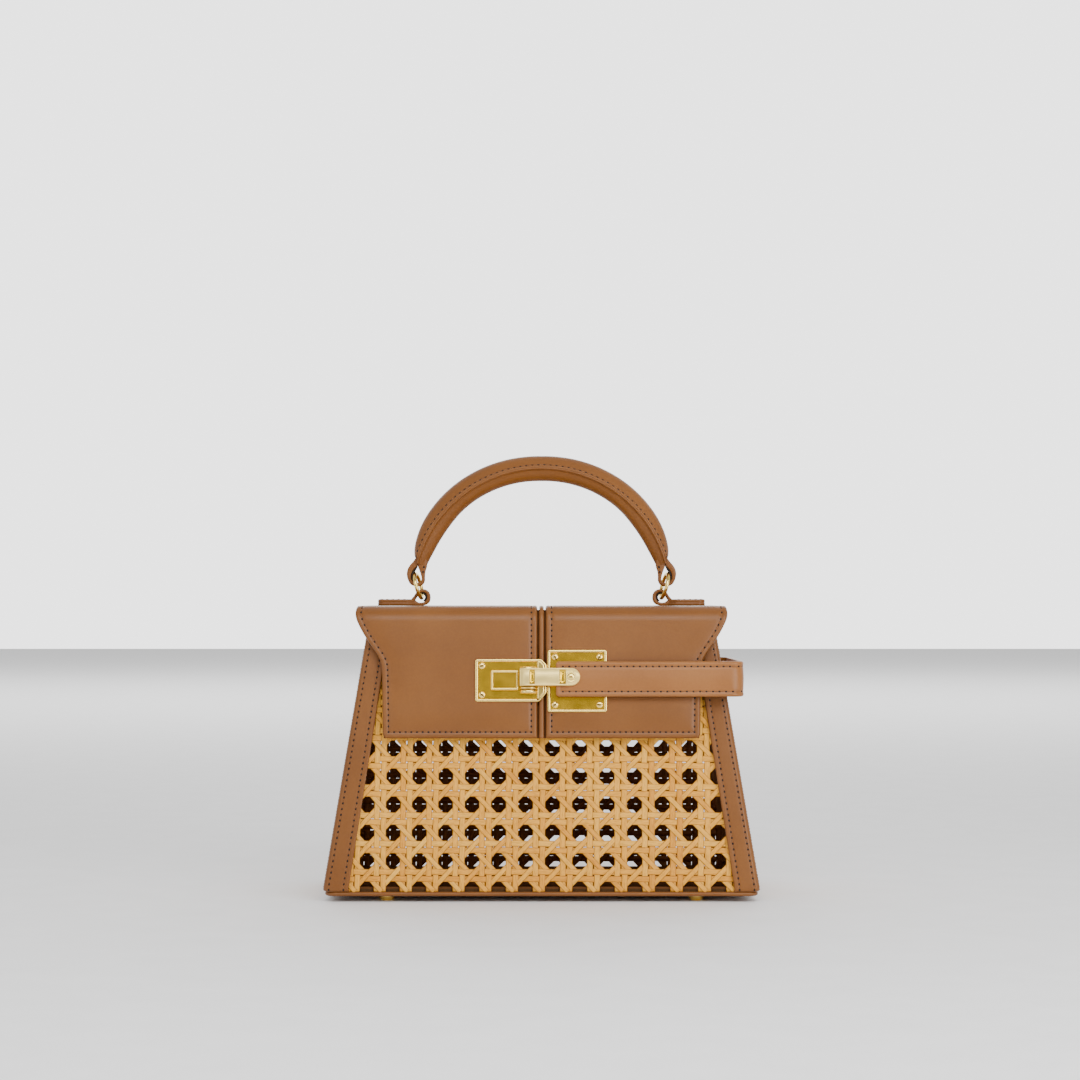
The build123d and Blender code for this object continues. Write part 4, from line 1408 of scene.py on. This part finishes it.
def paint_cad_nodes():
    """Paints the pieces that keep their CAD shape."""
    paint("base_panel", TAN)
    paint("base_board", BOARD)
    paint("inner_floor", LINING_LEATHER)
    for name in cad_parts:
        if name.startswith("foot_") or name == "strap_tail_rivets":
            paint(name, GOLD)


# ---- studio ----

CAMERA_DISTANCE = 1.173
CAMERA_HEIGHT = 0.139
CAMERA_TILT = 1.34
# How bright the surroundings are, from in front of the bag (0) to behind it (1).
WORLD_LEVELS = [(0.0, 0.40), (0.25, 0.36), (0.55, 0.9), (0.93, 1.3), (0.975, 2.9)]
MIDDLE = (0, 0, 0.09)
# Name, place, target, size and power of each lamp.
LAMPS = [
    ("softbox", (0.1, -0.92, 0.78), MIDDLE, (1.0, 0.42), 9),
    ("right", (0.8, -0.9, 0.35), MIDDLE, (0.5, 0.5), 7),
    ("left", (-1.1, -1.1, 0.5), MIDDLE, (0.7, 0.7), 4),
    ("backdrop", (0, 2.3, 1.3), (0, 2.3, 0), (3.2, 1.6), 45),
]


def studio():
    """A pale floor, soft lights and the camera."""
    reach = 6.0
    floor = bpy.data.meshes.new("floor")
    floor.from_pydata([(-reach, -reach, 0), (reach, -reach, 0), (reach, reach, 0), (-reach, reach, 0)],
                      [], [(0, 1, 2, 3)])
    floor.materials.append(speckled_material(
        "floor", 40, 3, 0.5, [(0.3, (0.90, 0.90, 0.90)), (0.7, (0.93, 0.93, 0.93))], Roughness=0.9))
    add_object("floor", floor)

    # the surroundings are bright behind the object and dim in front of it
    world = bpy.data.worlds.new("studio")
    world.use_nodes = True
    tree = world.node_tree
    background = tree.nodes["Background"]
    background.inputs["Color"].default_value = (1, 1, 1, 1)
    coords = tree.nodes.new("ShaderNodeTexCoord")
    axes = tree.nodes.new("ShaderNodeSeparateXYZ")
    level = tree.nodes.new("ShaderNodeValToRGB")
    for position, value in WORLD_LEVELS[2:]:
        level.color_ramp.elements.new(position)
    for element, (position, value) in zip(level.color_ramp.elements, WORLD_LEVELS):
        element.position = position
        element.color = (value, value, value, 1)
    half = tree.nodes.new("ShaderNodeMath")
    half.operation = "MULTIPLY_ADD"
    half.inputs[1].default_value = 0.5
    half.inputs[2].default_value = 0.5
    tree.links.new(coords.outputs["Generated"], axes.inputs[0])
    tree.links.new(axes.outputs["Y"], half.inputs[0])
    tree.links.new(half.outputs[0], level.inputs["Fac"])
    tree.links.new(level.outputs["Color"], background.inputs["Strength"])
    bpy.context.scene.world = world

    for name, place, target, size, power in LAMPS:
        lamp = bpy.data.lights.new(name, "AREA")
        lamp.shape = "RECTANGLE"
        lamp.size, lamp.size_y = size
        lamp.energy = power
        holder = add_object(name, lamp)
        holder.location = place
        holder.rotation_euler = (Vector(target) - Vector(place)).to_track_quat("-Z", "Y").to_euler()

    camera = bpy.data.cameras.new("camera")
    camera.lens = 85
    camera.sensor_width = 36
    holder = add_object("camera", camera)
    holder.location = (-0.0007, -(CAMERA_DISTANCE + BASE_HALF_DEPTH * MM), CAMERA_HEIGHT)
    holder.rotation_euler = (math.radians(90 + CAMERA_TILT), 0, 0)
    bpy.context.scene.camera = holder


# ---- the bag ----

for wall_name in ("front", "back", "left", "right"):
    cane_wall(wall_name)
    mouth_band(wall_name)
for corner_name, (corner_x, corner_y) in {
    "front_left": (-1, -1), "front_right": (1, -1), "back_left": (-1, 1), "back_right": (1, 1),
}.items():
    corner_band(corner_name, corner_x, corner_y)
for half_name in ("left", "right"):
    flap_leather(half_name)
    tab(half_name)
    ring(half_name)
    handle_loop(half_name)
flap_strip("flap_lining_leather", "flap_lining", LINING_LEATHER, 0.0, LINING)
flap_strip("flap_welt_leather", "flap_welt", TAN, LINING, LINING + FLAP_LEATHER - 0.1, 1.05, 0.5)
clasp_plates()
strap_leather()
tongue()
handle_cover("upper")
handle_cover("lower")
piping()
paint_cad_nodes()
studio()
